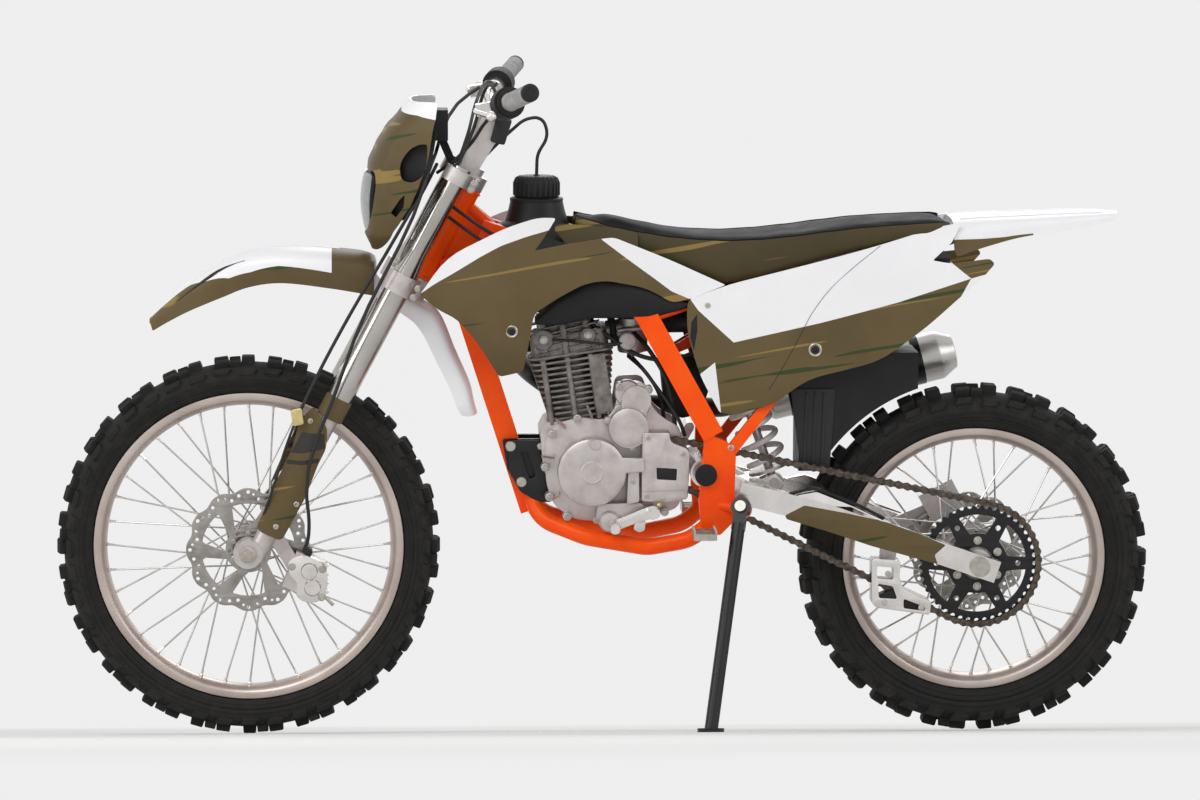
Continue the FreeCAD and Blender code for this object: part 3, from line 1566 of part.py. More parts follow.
# Swingarm, shock and chain guide
def swingarm():
    pivot = V(pivot_x, 0, pivot_z)
    middle = -arm_inner - arm_depth / 2
    run = (rear_centre - pivot).normalize()
    end = rear_centre + run * arm_end_overhang
    front = V(arm_front_x, middle, arm_bridge_z + arm_bridge_height / 4)
    knee = pivot + run * (swingarm_length * 0.42)
    arm = beam([front, V(knee.x, middle, knee.z), V(end.x, middle, end.z)], arm_rear_height, arm_depth)
    bridge_half = V(arm_bridge_length / 2, arm_inner + arm_depth / 2, arm_bridge_height / 2)
    bridge_centre = V(arm_bridge_x, 0, arm_bridge_z)
    bridge = box(bridge_centre - bridge_half, bridge_centre + bridge_half)
    hollow = pivot_plate_inner - seat_gap
    sleeve = disc(pivot, arm_pivot_radius, -hollow, hollow)
    neck_side = arm_inner - chain_width
    neck_half, bridge_top = V(0, 0, arm_pivot_radius * 0.9), V(0, 0, bridge_half.z)
    neck = plate([
        pivot + neck_half, bridge_centre + bridge_top, bridge_centre - bridge_top, pivot - neck_half,
    ], -hollow, -neck_side + arm_depth)
    ear_inner = shock_eye_half_width + seat_gap
    eye = V(shock_low_x, 0, shock_low_z)
    ear = plate([
        bridge_centre + bridge_top * 0.5, eye + V(0, 0, shock_eye_radius), eye + V(shock_eye_radius, 0, 0),
        eye - V(0, 0, shock_eye_radius), bridge_centre - bridge_top,
    ], ear_inner, ear_inner + shock_bracket_wall)
    body = fused([arm, mirrored(arm), bridge, sleeve, neck, mirrored(neck), ear, mirrored(ear)])
    bores = [
        disc(pivot, pivot_bolt_radius + fit_gap, -2 * pivot_plate_inner, 2 * pivot_plate_inner),
        disc(rear_centre, rear_axle_radius + fit_gap, -2 * arm_inner, 2 * arm_inner),
        disc(eye, pivot_bolt_radius + fit_gap, -arm_inner, arm_inner),
    ]
    return body.cut(Part.makeCompound(bores))


def frame_pins():
    pivot = V(pivot_x, 0, pivot_z)
    reach = pivot_plate_inner + pivot_plate_wall + seat_gap
    solids = [disc(pivot, pivot_bolt_radius, -reach - pivot_cap_wall, reach + pivot_cap_wall)]
    for side in (-1, 1):
        low, high = sorted((side * reach, side * (reach + pivot_cap_wall)))
        solids.append(disc(pivot, pivot_cap_radius, low, high))
    return Part.makeCompound([fused(solids), stand_bolt()])


def rear_axle():
    reach = arm_inner + arm_depth
    body = disc(rear_centre, rear_axle_radius, -reach - bolt_height, reach + bolt_height)
    nut = disc(rear_centre, rear_axle_radius * 1.6, reach + seat_gap, reach + 2 * bolt_height)
    return fused([body, nut, mirrored(nut)])


def shock_line():
    top, low = V(shock_top_x, 0, shock_top_z), V(shock_low_x, 0, shock_low_z)
    return top, low, (low - top).normalize()


def shock_absorber():
    top, low, run = shock_line()
    length = (low - top).Length
    bolt_reach = shock_eye_half_width + shock_bracket_wall + bolt_height
    body = rod(top + run * shock_eye_radius * 1.2, top + run * length * shock_body_share, shock_body_radius)
    solids = [body, rod(top, low, shock_rod_radius)]
    for end in (top, low):
        solids.append(disc(end, shock_eye_radius, -shock_eye_half_width, shock_eye_half_width))
        solids.append(disc(end, pivot_bolt_radius, -bolt_reach, bolt_reach))
    for distance in (shock_eye_radius * 1.8, length - shock_eye_radius * 1.8):
        at = top + run * distance
        solids.append(rod(at, at + run * spring_seat_wall, spring_seat_radius))
    return fused(solids)


def shock_spring():
    top, low, run = shock_line()
    length = (low - top).Length
    start = shock_eye_radius * 1.8 + spring_seat_wall + spring_wire_radius + seat_gap
    coil = length - 2 * start + spring_seat_wall - spring_wire_radius
    pitch = coil / spring_turns
    helix = Part.makeHelix(pitch, coil, spring_radius)
    mouth = Part.Wire(Part.makeCircle(spring_wire_radius, V(spring_radius, 0, 0), across))
    spring = Part.Wire(helix.Edges).makePipeShell([mouth], True, True)
    turn = FreeCAD.Rotation(V(0, 0, 1), run)
    spring.Placement = FreeCAD.Placement(top + run * start, turn)
    return spring


def chain_guide():
    points = outline(guide_shares, guide_x, guide_z, guide_length, guide_height)
    middle = -chain_offset
    body = plate(points, middle - guide_half_width, middle + guide_half_width, outline_corner / 2)
    room = chain_loop(chain_height / 2 + run_gap).cut(chain_loop(-chain_roller_radius - run_gap))
    room.translate(across * (middle - chain_width / 2 - tooth_gap))
    slot = room.Faces[0].extrude(across * (chain_width + 2 * tooth_gap))
    lug_x = guide_x + guide_lug_length / 2
    arm_z = between(V(pivot_x, 0, pivot_z), rear_centre, (lug_x - pivot_x) / (rear_centre.x - pivot_x)).z
    lug = box(V(lug_x, -arm_inner - guide_lug_depth, guide_z + guide_height * 0.75),
              V(lug_x + guide_lug_length, -arm_inner, arm_z))
    return fused([body.cut(slot), lug.cut(swingarm())])


def rear_caliper():
    mount = rear_centre + V(-caliper_outer_radius, 0, caliper_outer_radius / 3)
    low = rear_disc_offset + caliper_half_depth - caliper_arm_depth
    return caliper(rear_centre, rear_disc_radius, rear_disc_offset, rear_caliper_angle, mount,
                   low, arm_inner - seat_gap)


# Stand, pegs and pedals
def side_stand():
    down, back, hinge = stand_directions()
    foot = stand_pivot + down
    run = V(down)
    run.normalize()
    half = hinge * stand_eye_half_width
    eye = rod(stand_pivot - half, stand_pivot + half, stand_eye_radius)
    knee = stand_pivot + run * (stand_eye_radius + stand_radius)
    side = run.cross(hinge).normalize() * stand_radius
    ring = [stand_pivot + place for place in (side - half, -side - half, half - side, side + half)]
    neck = Part.Face(Part.makePolygon(ring + ring[:1])).extrude(knee - stand_pivot + run * stand_radius)
    leg = rod(knee, foot, stand_radius)
    ground = V(0, sin(lean), cos(lean))
    pad = rod(foot, foot + ground * stand_foot_wall, stand_foot_radius)
    keep = rod(foot, foot + ground * 2 * down.Length, 2 * down.Length)
    reach = hinge * cut_overrun
    bore = rod(stand_pivot - reach, stand_pivot + reach, stand_pin_radius + fit_gap)
    return fused([eye, neck, leg, pad]).common(keep).cut(bore)


def stand_bolt():
    hinge = stand_directions()[2]
    low = stand_eye_half_width + seat_gap + stand_tab_wall
    high = stand_eye_half_width + seat_gap
    under_head = stand_pivot + hinge * high
    shank = rod(stand_pivot - hinge * low, under_head, stand_pin_radius)
    return fused([shank, rod(under_head, under_head + hinge * stand_pin_head_wall, stand_pin_head_radius)])


def foot_peg():
    start = -pivot_plate_inner - pivot_plate_wall - seat_gap
    bracket_half, half = peg_bracket_length / 2, peg_length / 2
    top = peg_z + peg_height
    bracket = box(V(peg_x - bracket_half, start - peg_bracket_length, peg_z - peg_bracket_height / 2),
                  V(peg_x + bracket_half, start, peg_z + peg_bracket_height / 2))
    solids = [bracket, box(V(peg_x - half, -peg_reach, peg_z), V(peg_x + half, start - bracket_half, top))]
    pitch = (peg_reach + start) / (peg_teeth + 1)
    for k in range(peg_teeth):
        low = V(peg_x - half, -peg_reach + pitch * k, top)
        solids.append(box(low, low + V(peg_length, peg_tooth_height, peg_tooth_height)))
    return fused(solids)


def gear_lever():
    side = -gear_lever_side
    bar = beam([V(gear_shaft_x, side, gear_shaft_z), V(gear_toe_x, side, gear_toe_z)],
               lever_bar_radius * 2, lever_bar_radius * 1.4)
    shaft = disc(V(gear_shaft_x, 0, gear_shaft_z), lever_bar_radius * 1.6,
                 side - lever_bar_radius, -case_left - seat_gap)
    toe = disc(V(gear_toe_x, 0, gear_toe_z), lever_bar_radius * 1.3, -gear_toe_reach, side)
    return fused([bar, shaft, toe]).cut(sprocket_cover())


def brake_pedal():
    start, end = V(pedal_shaft_x, pedal_side, pedal_shaft_z), V(pedal_toe_x, pedal_side, pedal_toe_z)
    bar = beam([start, V((start.x + end.x) / 2, pedal_side, end.z - peg_height), end],
               lever_bar_radius * 2, lever_bar_radius * 2)
    half = pedal_toe_half_width
    toe = box(V(end.x - half, pedal_side - lever_bar_radius, end.z),
              V(end.x + half, pedal_side + half, end.z + lever_bar_radius))
    boss = disc(V(pedal_shaft_x, 0, pedal_shaft_z), lever_bar_radius * 2, rail_half_spread, pedal_side)
    return fused([bar, toe, boss]).cut(frame_cradle())


def kick_starter():
    shaft = disc(V(kick_shaft_x, 0, kick_shaft_z), lever_bar_radius * 2,
                 clutch_reach + seat_gap + magneto_boss_wall, kick_side)
    low = V(kick_shaft_x, kick_side, kick_shaft_z)
    high = V(kick_top_x, kick_side + lever_bar_radius, kick_top_z)
    arm = beam([low, high], lever_bar_radius * 3, lever_bar_radius * 2)
    pedal = disc(V(kick_top_x, 0, kick_top_z), lever_bar_radius * 1.4, kick_side, kick_pedal_reach)
    return fused([shaft, arm, pedal])


def foot_controls():
    return Part.makeCompound([gear_lever(), brake_pedal(), kick_starter()])


# Hoses
def vent_hose():
    start = V(tank_neck_x, 0, tank_neck_z + tank_neck_height + cap_height + 2 * seat_gap)
    end = fork_point(-upper_clamp_height / 2, 0)
    mouth = fork_point(upper_clamp_height + stem_nut_height, 0)
    return tube([
        start, V(-137, 0, 1058), V(-116, 0, 1092), V(-128, 0, 1126), V(-160, 0, 1122), V(-196, 0, 1090),
        mouth, end,
    ], vent_hose_radius, vent_hose_bend)


# From the right perch, ahead of the bar and down the left fork tube to the caliper
def brake_hose():
    perch = along_grip(1, grip_length + 2 * seat_gap + housing_length + perch_length / 2)
    side = -fork_half_spread - outer_tube_radius - 4 * hose_radius
    places = [
        perch - V(lever_reach * 0.45, perch_length * 0.35, 0), V(-256, 198, 1152), V(-277, 162, 1138),
        V(-294, 118, 1118), V(-306, 72, 1098), V(-314, 24, 1076), V(-320, -26, 1062), V(-325, -72, 1055),
        V(-333, -110, 1038), V(-345, -130, 1004), V(-361, side, 960), V(-385, side, 908), V(-413, side, 854),
        V(-441, side, 798), V(-466, side, 740),
        V(-487, side, 680), V(-508, side, 622), V(-532, side, 564), V(-549, side, 506), V(-552, side, 456),
        V(-547, side, 412), V(-549, side + 14, 376), V(-558, side + 30, 352),
    ]
    print("brake hose radii", [round(r) for r in bend_radii(places, hose_bend)])
    return tube(places, hose_radius, hose_bend).cut(front_caliper()).cut(hand_levers())


# Every node, by its file name
def pieces():
    return {
        "frame_head": frame_head(),
        "frame_spars": frame_spars(),
        "frame_cradle": frame_cradle(),
        "subframe": subframe(),
        "swingarm": swingarm(),
        "frame_pins": frame_pins(),
        "rear_axle": rear_axle(),
        "shock_absorber": shock_absorber(),
        "shock_spring": shock_spring(),
        "chain": chain(),
        "chain_guide": chain_guide(),
        "front_sprocket": front_sprocket(),
        "crankcase": crankcase(),
        "sprocket_cover": sprocket_cover(),
        "cylinder": cylinder(),
        "cylinder_head": cylinder_head(),
        "engine_plates": engine_plates(),
        "carburettor": carburettor(),
        "intake_boot": intake_boot(),
        "airbox": airbox(),
        "exhaust_pipe": exhaust_pipe(),
        "silencer": silencer(),
        "fuel_tank": fuel_tank(),
        "fuel_cap": fuel_cap(),
        "vent_hose": vent_hose(),
        "seat": seat(),
        "shroud_left": shroud_left(),
        "shroud_right": mirrored(shroud_left()),
        "side_panel_left": side_panel_left(),
        "side_panel_right": mirrored(side_panel_left()),
        "rear_fender": rear_fender(),
        "foot_pegs": both_sides(foot_peg()),
        "foot_controls": foot_controls(),
        "rear_caliper": rear_caliper(),
        "side_stand": side_stand(),
        "triple_clamps": triple_clamps(),
        "fork_tubes": fork_tubes(),
        "fork_legs": fork_legs(),
        "fork_guards": both_sides(fork_guard()),
        "front_axle": front_axle(),
        "front_caliper": front_caliper(),
        "front_fender": front_fender(),
        "headlight_mask": headlight_mask(),
        "headlight_lens": headlight_lens(),
        "handlebar": handlebar(),
        "grips": grips(),
        "switchgear": switchgear(),
        "hand_levers": hand_levers(),
        "brake_hose": brake_hose(),
        "front_tyre": tyre(front_centre, front_tyre_radius, front_rim_seat_radius, front_rim_flange_radius,
                           front_rim_inside_width, front_tyre_width, front_lug_rows, front_lug_height),
        "front_rim": rim(front_centre, front_rim_seat_radius, front_rim_flange_radius, front_rim_well_radius,
                         front_rim_inside_width),
        "front_hub": front_hub(),
        "front_disc": brake_disc(front_centre, front_disc_radius, front_disc_inner_radius,
                                 front_hub_barrel_radius, -front_disc_offset),
        "rear_tyre": tyre(rear_centre, rear_tyre_radius, rear_rim_seat_radius, rear_rim_flange_radius,
                          rear_rim_inside_width, rear_tyre_width, rear_lug_rows, rear_lug_height),
        "rear_rim": rim(rear_centre, rear_rim_seat_radius, rear_rim_flange_radius, rear_rim_well_radius,
                        rear_rim_inside_width),
        "rear_hub": rear_hub(),
        "rear_wheel_disc": brake_disc(rear_centre, rear_disc_radius, rear_disc_inner_radius,
                                      rear_hub_barrel_radius, rear_disc_offset),
        "rear_sprocket": sprocket(rear_centre, rear_pitch_radius, rear_teeth,
                                  rear_hub_barrel_radius + fit_gap, True),
    }


# Lean onto the stand, then centre the whole over the origin
def park_shift(nodes):
    whole = FreeCAD.BoundBox()
    for shape in nodes.values():
        leaned = shape.copy()
        leaned.rotate(V(0, 0, 0), V(1, 0, 0), lean_angle)
        whole.add(leaned.optimalBoundingBox(False))
    return V(-whole.Center.x, -whole.Center.y, -whole.ZMin)


def parked(shape, shift):
    moved = shape.copy()
    moved.rotate(V(0, 0, 0), V(1, 0, 0), lean_angle)
    moved.translate(shift)
    return moved


def main():
    os.makedirs("parts", exist_ok=True)
    nodes = pieces()
    shift = park_shift(nodes)
    for name, shape in nodes.items():
        parked(shape, shift).exportStep("parts/" + name + ".step")
    print(len(nodes), "nodes written")


main()
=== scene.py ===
import bmesh
import bpy
from math import atan2, cos, hypot, pi, radians, sin, sqrt
from mathutils import Matrix, Vector
from mathutils.geometry import delaunay_2d_cdt


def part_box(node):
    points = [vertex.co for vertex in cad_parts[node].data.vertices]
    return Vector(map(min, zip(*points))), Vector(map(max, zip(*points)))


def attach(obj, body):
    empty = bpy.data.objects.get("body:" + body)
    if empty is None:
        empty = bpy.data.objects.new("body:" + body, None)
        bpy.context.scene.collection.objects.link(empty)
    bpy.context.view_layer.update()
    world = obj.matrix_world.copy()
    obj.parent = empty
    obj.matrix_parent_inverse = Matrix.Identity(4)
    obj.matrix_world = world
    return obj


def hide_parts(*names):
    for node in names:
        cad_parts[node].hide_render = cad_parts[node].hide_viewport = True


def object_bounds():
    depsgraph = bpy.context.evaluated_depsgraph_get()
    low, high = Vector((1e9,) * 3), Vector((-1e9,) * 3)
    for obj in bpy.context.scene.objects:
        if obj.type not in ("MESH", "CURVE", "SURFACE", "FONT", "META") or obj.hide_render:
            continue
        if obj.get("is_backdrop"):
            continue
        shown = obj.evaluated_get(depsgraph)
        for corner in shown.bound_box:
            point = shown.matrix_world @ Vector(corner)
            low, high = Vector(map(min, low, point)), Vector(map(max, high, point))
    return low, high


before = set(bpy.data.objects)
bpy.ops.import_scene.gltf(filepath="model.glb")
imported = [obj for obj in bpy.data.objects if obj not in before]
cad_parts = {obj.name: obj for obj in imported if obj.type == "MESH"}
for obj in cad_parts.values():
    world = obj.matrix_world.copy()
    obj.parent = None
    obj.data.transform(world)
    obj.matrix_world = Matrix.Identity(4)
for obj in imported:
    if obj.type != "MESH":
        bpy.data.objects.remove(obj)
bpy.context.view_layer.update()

# Every piece is made upright in millimetres: X to the rear, the rider's left at -Y, the ground at Z 0.
# It then leans onto the stand, which is how the CAD model is parked.
stance = {
    "lean": radians(11.0),
    "rake": radians(28.0),
    "head": Vector((-257.0, 0, 1013.0)),
    "frontAxle": Vector((-657.4, 0, 349.4)),
    "rearAxle": Vector((659.2, 0, 323.5)),
}
leanTurn = Matrix.Rotation(stance["lean"], 4, "X")
rimLow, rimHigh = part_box("front_rim")
parkShift = (rimLow + rimHigh) * 500 - leanTurn @ stance["frontAxle"]
parkShift.z = 0
parked = Matrix.Scale(0.001, 4) @ Matrix.Translation(parkShift) @ leanTurn
print("stance: shift", [round(v, 2) for v in parkShift])

forkUp = Vector((sin(stance["rake"]), 0, cos(stance["rake"])))
forkFore = Vector((-cos(stance["rake"]), 0, sin(stance["rake"])))
upward, rightward = Vector((0, 0, 1)), Vector((0, 1, 0))
leftward = -rightward


def forkPoint(along, fore, side=0.0):
    return stance["head"] + forkUp * along + forkFore * fore + rightward * side


# Forms are (points, faces, paint numbers), in millimetres
def painted(form, paint):
    return form[0], form[1], [paint] * len(form[1])


def joined(*forms):
    points, faces, paints = [], [], []
    for form in forms:
        base = len(points)
        points += form[0]
        faces += [tuple(base + i for i in face) for face in form[1]]
        paints += form[2]
    return points, faces, paints


# A list of forms counts as one
def whole(form):
    return joined(*form) if isinstance(form, list) else form


def flipped(form):
    points, faces, paints = whole(form)
    return [Vector((p[0], -p[1], p[2])) for p in points], [tuple(reversed(f)) for f in faces], paints


def bothSides(form):
    return joined(whole(form), flipped(form))


# Even angles round a circle
def turns(count, shift=0):
    return [2 * pi * (k + shift) / count for k in range(count)]


# Place round a wheel's axle
def roundAxle(centre, angle, radius, side=0.0):
    return centre + Vector((cos(angle) * radius, side, sin(angle) * radius))


# Places on a circle drawn from the bike's side
def circle(centre, radius, angles):
    return [Vector((centre[0] + cos(a) * radius, centre[-1] + sin(a) * radius)) for a in angles]


# Rings of equal count joined into a body
def loft(rings, capped=True, closed=False):
    rows, around = len(rings), len(rings[0])
    faces = []
    for i in range(rows if closed else rows - 1):
        j = (i + 1) % rows
        for k in range(around):
            n = (k + 1) % around
            faces.append((i * around + k, i * around + n, j * around + n, j * around + k))
    if capped and not closed:
        faces += [tuple(range(around)), tuple((rows - 1) * around + k for k in range(around))]
    return [Vector(p) for ring in rings for p in ring], faces, [0] * len(faces)


# Round body about an axis, from pairs of distance along it and radius
def turned(profile, origin, axis, segments=40, closed=False):
    origin, axis = Vector(origin), Vector(axis).normalized()
    side = axis.orthogonal().normalized()
    other = axis.cross(side)
    return loft([[origin + axis * along + (side * cos(a) + other * sin(a)) * radius for a in turns(segments)]
                 for along, radius in profile], closed=closed)


# Rod with softened ends
def pin(start, end, radius, soft=1.0, segments=20):
    run = Vector(end) - Vector(start)
    length = run.length
    soft = min(soft, length / 2.1, radius * 0.9)
    nip = soft * 0.29
    return turned([(0, radius - soft), (nip, radius - nip), (soft, radius), (length - soft, radius),
                   (length - nip, radius - nip), (length, radius - soft)], start, run, segments)


# Hexagon head on a washer
def bolt(place, axis, radius, height):
    axis, place = Vector(axis).normalized(), Vector(place)
    return joined(pin(place - axis * 2, place + axis * 1.4, radius * 1.25, 0.5),
                  turned([(0, radius), (height * 0.85, radius), (height, radius * 0.86)], place, axis, 6))


# Socket head screw
def capScrew(place, axis, radius, height):
    return turned([(-2, radius), (height * 0.8, radius), (height, radius * 0.84), (height, radius * 0.52),
                   (height * 0.4, radius * 0.5)], place, axis, 18)


# Curve through four values, between the middle two
def between(a, b, c, d, t):
    return 0.5 * (2 * b + (c - a) * t + (2 * a - 5 * b + 4 * c - d) * t * t
                  + (3 * b - a - 3 * c + d) * t ** 3)


def smoothLine(points, steps=8):
    points = [Vector(p) for p in points]
    points = [points[0] * 2 - points[1]] + points + [points[-1] * 2 - points[-2]]
    return [between(*four, k / steps) for four in zip(points, points[1:], points[2:], points[3:])
            for k in range(steps)] + [points[-2]]


# Corner turned into an arc that keeps to its shorter run
def cornerArc(before, corner, after, bend, most, steps):
    back, ahead = before - corner, after - corner
    setback = min(bend, most * back.length, most * ahead.length)
    start, end = corner + back.normalized() * setback, corner + ahead.normalized() * setback
    return [start * (1 - t) ** 2 + corner * (2 * t * (1 - t)) + end * t * t
            for t in [k / steps for k in range(steps + 1)]]


def bentLine(points, bend, steps=6):
    points = [Vector(p) for p in points]
    line = [points[0]]
    for corner in zip(points, points[1:], points[2:]):
        line += cornerArc(*corner, bend, 0.48, steps)
    return line + [points[-1]]


# Corners of a drawn outline rounded; a third number on a point is its own radius
def rounded(outline, radius=8.0, steps=4):
    spots = [Vector(p[:2]) for p in outline]
    loop = []
    for i, drawn in enumerate(outline):
        bend = drawn[2] if len(drawn) > 2 else radius
        loop += cornerArc(spots[i - 1], spots[i], spots[(i + 1) % len(spots)], bend, 0.46, steps)
    return loop


def roundLoop(radius, count=12):
    return [(cos(a) * radius, sin(a) * radius) for a in turns(count)]


def softLoop(high, wide, corner, steps=3):
    loop = []
    for sx, sy, start in ((1, 1, 0), (-1, 1, 90), (-1, -1, 180), (1, -1, 270)):
        for k in range(steps + 1):
            angle = radians(start + 90 * k / steps)
            loop.append((sx * (high / 2 - corner) + cos(angle) * corner,
                         sy * (wide / 2 - corner) + sin(angle) * corner))
    return loop


# Section carried along a line; with a side given, the section's second direction stays there
def sweep(line, loop, side=None, closed=False, grow=None):
    line = [Vector(p) for p in line]
    rings, normal = [], None
    for i, place in enumerate(line):
        before = line[i - 1] if closed or i else line[0]
        after = line[(i + 1) % len(line)] if closed or i + 1 < len(line) else line[-1]
        run = (after - before).normalized()
        if side is not None:
            other = (Vector(side) - run * Vector(side).dot(run)).normalized()
            normal = other.cross(run)
        else:
            normal = run.orthogonal() if normal is None else normal - run * normal.dot(run)
            normal.normalize()
            other = run.cross(normal)
        size = grow[i] if grow else 1.0
        rings.append([place + normal * (a * size) + other * (b * size) for a, b in loop])
    return loft(rings, closed=closed)


def tube(points, radius, bend=30.0, around=12):
    return sweep(bentLine(points, bend), roundLoop(radius, around))


# Flat plate on the bike's side, from loops drawn in X and Z: the first is its outline, the others are holes
def plate(loops, low, high, soft=1.0):
    curve = bpy.data.curves.new("plate", "CURVE")
    curve.dimensions = "2D"
    curve.fill_mode = "BOTH"
    for i, loop in enumerate(loops):
        area = sum(a.x * b.y - b.x * a.y for a, b in zip(loop, loop[1:] + loop[:1]))
        spline = curve.splines.new("POLY")
        spline.points.add(len(loop) - 1)
        for point, spot in zip(spline.points, loop if (area > 0) == (i == 0) else reversed(loop)):
            point.co = (spot.x, spot.y, 0, 1)
        spline.use_cyclic_u = True
    soft = min(soft, (high - low) / 2.2)
    curve.extrude = (high - low) / 2 - soft
    curve.bevel_depth = soft
    curve.offset = -soft
    curve.bevel_resolution = 1
    holder = bpy.data.objects.new("plate", curve)
    mesh = bpy.data.meshes.new_from_object(holder)
    middle = (low + high) / 2
    points = [Vector((v.co.x, middle + v.co.z, v.co.y)) for v in mesh.vertices]
    faces = [tuple(p.vertices) for p in mesh.polygons]
    bpy.data.objects.remove(holder)
    bpy.data.curves.remove(curve)
    bpy.data.meshes.remove(mesh)
    return points, faces, [0] * len(faces)


# Plate with one rounded outline
def slab(outline, corner, low, high, soft):
    return plate([rounded(outline, corner)], low, high, soft)


def inside(spot, loop):
    x, y = spot
    hit = False
    for a, b in zip(loop, loop[1:] + loop[:1]):
        if (a[1] > y) != (b[1] > y) and x < (b[0] - a[0]) * (y - a[1]) / (b[1] - a[1]) + a[0]:
            hit = not hit
    return hit


def edgeDistance(spot, a, b):
    run = b - a
    share = max(0.0, min(1.0, (spot - a).dot(run) / max(run.length_squared, 1e-9)))
    return (spot - a - run * share).length


# Moulded panel: an outline with colour zones and holes, laid on a surface and given its wall.
# surface takes the outline's two numbers and gives the outer point; wall goes inwards.
def skin(outline, surface, wall, zones=(), holes=(), pitch=9.0):
    outline, *holes = [[Vector(p[:2]) for p in loop] for loop in (outline, *holes)]
    zones = [([Vector(p[:2]) for p in loop], paint) for loop, paint in zones]
    spots, edges = [], []
    for loop in [outline] + [zone for zone, paint in zones] + holes:
        dense = []
        for a, b in zip(loop, loop[1:] + loop[:1]):
            parts = max(1, int((b - a).length / pitch))
            dense += [a.lerp(b, k / parts) for k in range(parts)]
        base = len(spots)
        spots += dense
        edges += [(base + k, base + (k + 1) % len(dense)) for k in range(len(dense))]
    segments = [(spots[a], spots[b]) for a, b in edges]
    lowX, highX = min(p.x for p in outline), max(p.x for p in outline)
    lowY, highY = min(p.y for p in outline), max(p.y for p in outline)
    rise = pitch * 0.87  # rows of even triangles
    for row in range(1, int((highY - lowY) / rise)):
        y = lowY + row * rise
        near = [s for s in segments if min(s[0].y, s[1].y) < y + pitch and max(s[0].y, s[1].y) > y - pitch]
        for column in range(int((highX - lowX) / pitch) + 1):
            spot = Vector((lowX + (column + 0.5 * (row % 2)) * pitch, y))
            if inside(spot, outline) and all(edgeDistance(spot, *s) > pitch * 0.42 for s in near):
                spots.append(spot)
    flat, _, triangles, _, _, _ = delaunay_2d_cdt(spots, edges, [], 0, 1e-4)
    kept, paints = [], []
    for triangle in triangles:
        middle = sum((flat[i] for i in triangle), Vector((0, 0))) / 3
        if inside(middle, outline) and not any(inside(middle, hole) for hole in holes):
            kept.append(tuple(triangle))
            paints.append(([0] + [paint for zone, paint in zones if inside(middle, zone)])[-1])
    outer = [surface(*p) for p in flat]
    inner = []
    for p, place in zip(flat, outer):
        du = surface(p.x + 1, p.y) - surface(p.x - 1, p.y)
        dv = surface(p.x, p.y + 1) - surface(p.x, p.y - 1)
        inner.append(place + du.cross(dv).normalized() * -wall)
    count = len(flat)
    faces = kept + [tuple(count + i for i in reversed(f)) for f in kept]
    sides = {}
    for number, (a, b, c) in enumerate(kept):
        for edge in ((a, b), (b, c), (c, a)):
            sides[edge] = number
    paints += paints
    for (start, end), number in sides.items():
        if (end, start) not in sides:
            faces.append((end, start, count + start, count + end))
            paints.append(paints[number])
    return outer + inner, faces, paints


def softenEdges(part, soft):
    edge = part.modifiers.new("softened edges", "BEVEL")
    edge.width = soft / 1000
    edge.segments = 2
    edge.limit_method = "ANGLE"
    edge.angle_limit = radians(40)


# Piece of the scene from a form, riding on a body of the model.
def makePiece(name, form, *looks, body="chassis", slot=None, replaces=None, soft=0, sharp=35):
    points, faces, paints = whole(form)
    mesh = bpy.data.meshes.new(name)
    mesh.from_pydata([parked @ Vector(p) for p in points], [], faces)
    mesh.polygons.foreach_set("material_index", paints)
    work = bmesh.new()
    work.from_mesh(mesh)
    bmesh.ops.remove_doubles(work, verts=work.verts, dist=1e-5)
    bmesh.ops.dissolve_degenerate(work, edges=work.edges, dist=1e-6)
    bmesh.ops.recalc_face_normals(work, faces=work.faces)
    work.to_mesh(mesh)
    work.free()
    mesh.polygons.foreach_set("use_smooth", [True] * len(mesh.polygons))
    mesh.set_sharp_from_angle(angle=radians(sharp))
    for look in looks:
        mesh.materials.append(finishes[look])
    part = bpy.data.objects.new(name, mesh)
    bpy.context.scene.collection.objects.link(part)
    if soft:
        softenEdges(part, soft)
    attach(part, body)
    if replaces:
        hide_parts(replaces)
    return part


# One node, with its settings and what it is linked to
def addNode(tree, kind, inputs=None, **settings):
    node = tree.nodes.new(kind)
    for key, value in settings.items():
        setattr(node, key, value)
    for key, value in (inputs or {}).items():
        if isinstance(value, bpy.types.NodeSocket):
            tree.links.new(value, node.inputs[key])
        else:
            node.inputs[key].default_value = value
    return node


def linear(code):
    parts = [int(code[i:i + 2], 16) / 255 for i in (0, 2, 4)]
    return [c / 12.92 if c <= 0.04045 else ((c + 0.055) / 1.055) ** 2.4 for c in parts] + [1.0]


# The bike's own coordinates, upright, divided by a feature's size in millimetres along X, Y and Z
def bikeSpace(tree, size, tilt=0.0):
    place = addNode(tree, "ShaderNodeTexCoord").outputs["Object"]
    size = size if isinstance(size, tuple) else (size,) * 3
    return addNode(tree, "ShaderNodeMapping", {
        "Vector": place, "Rotation": (stance["lean"], tilt, 0), "Scale": tuple(s / 1000 for s in size),
    }, vector_type="TEXTURE").outputs[0]


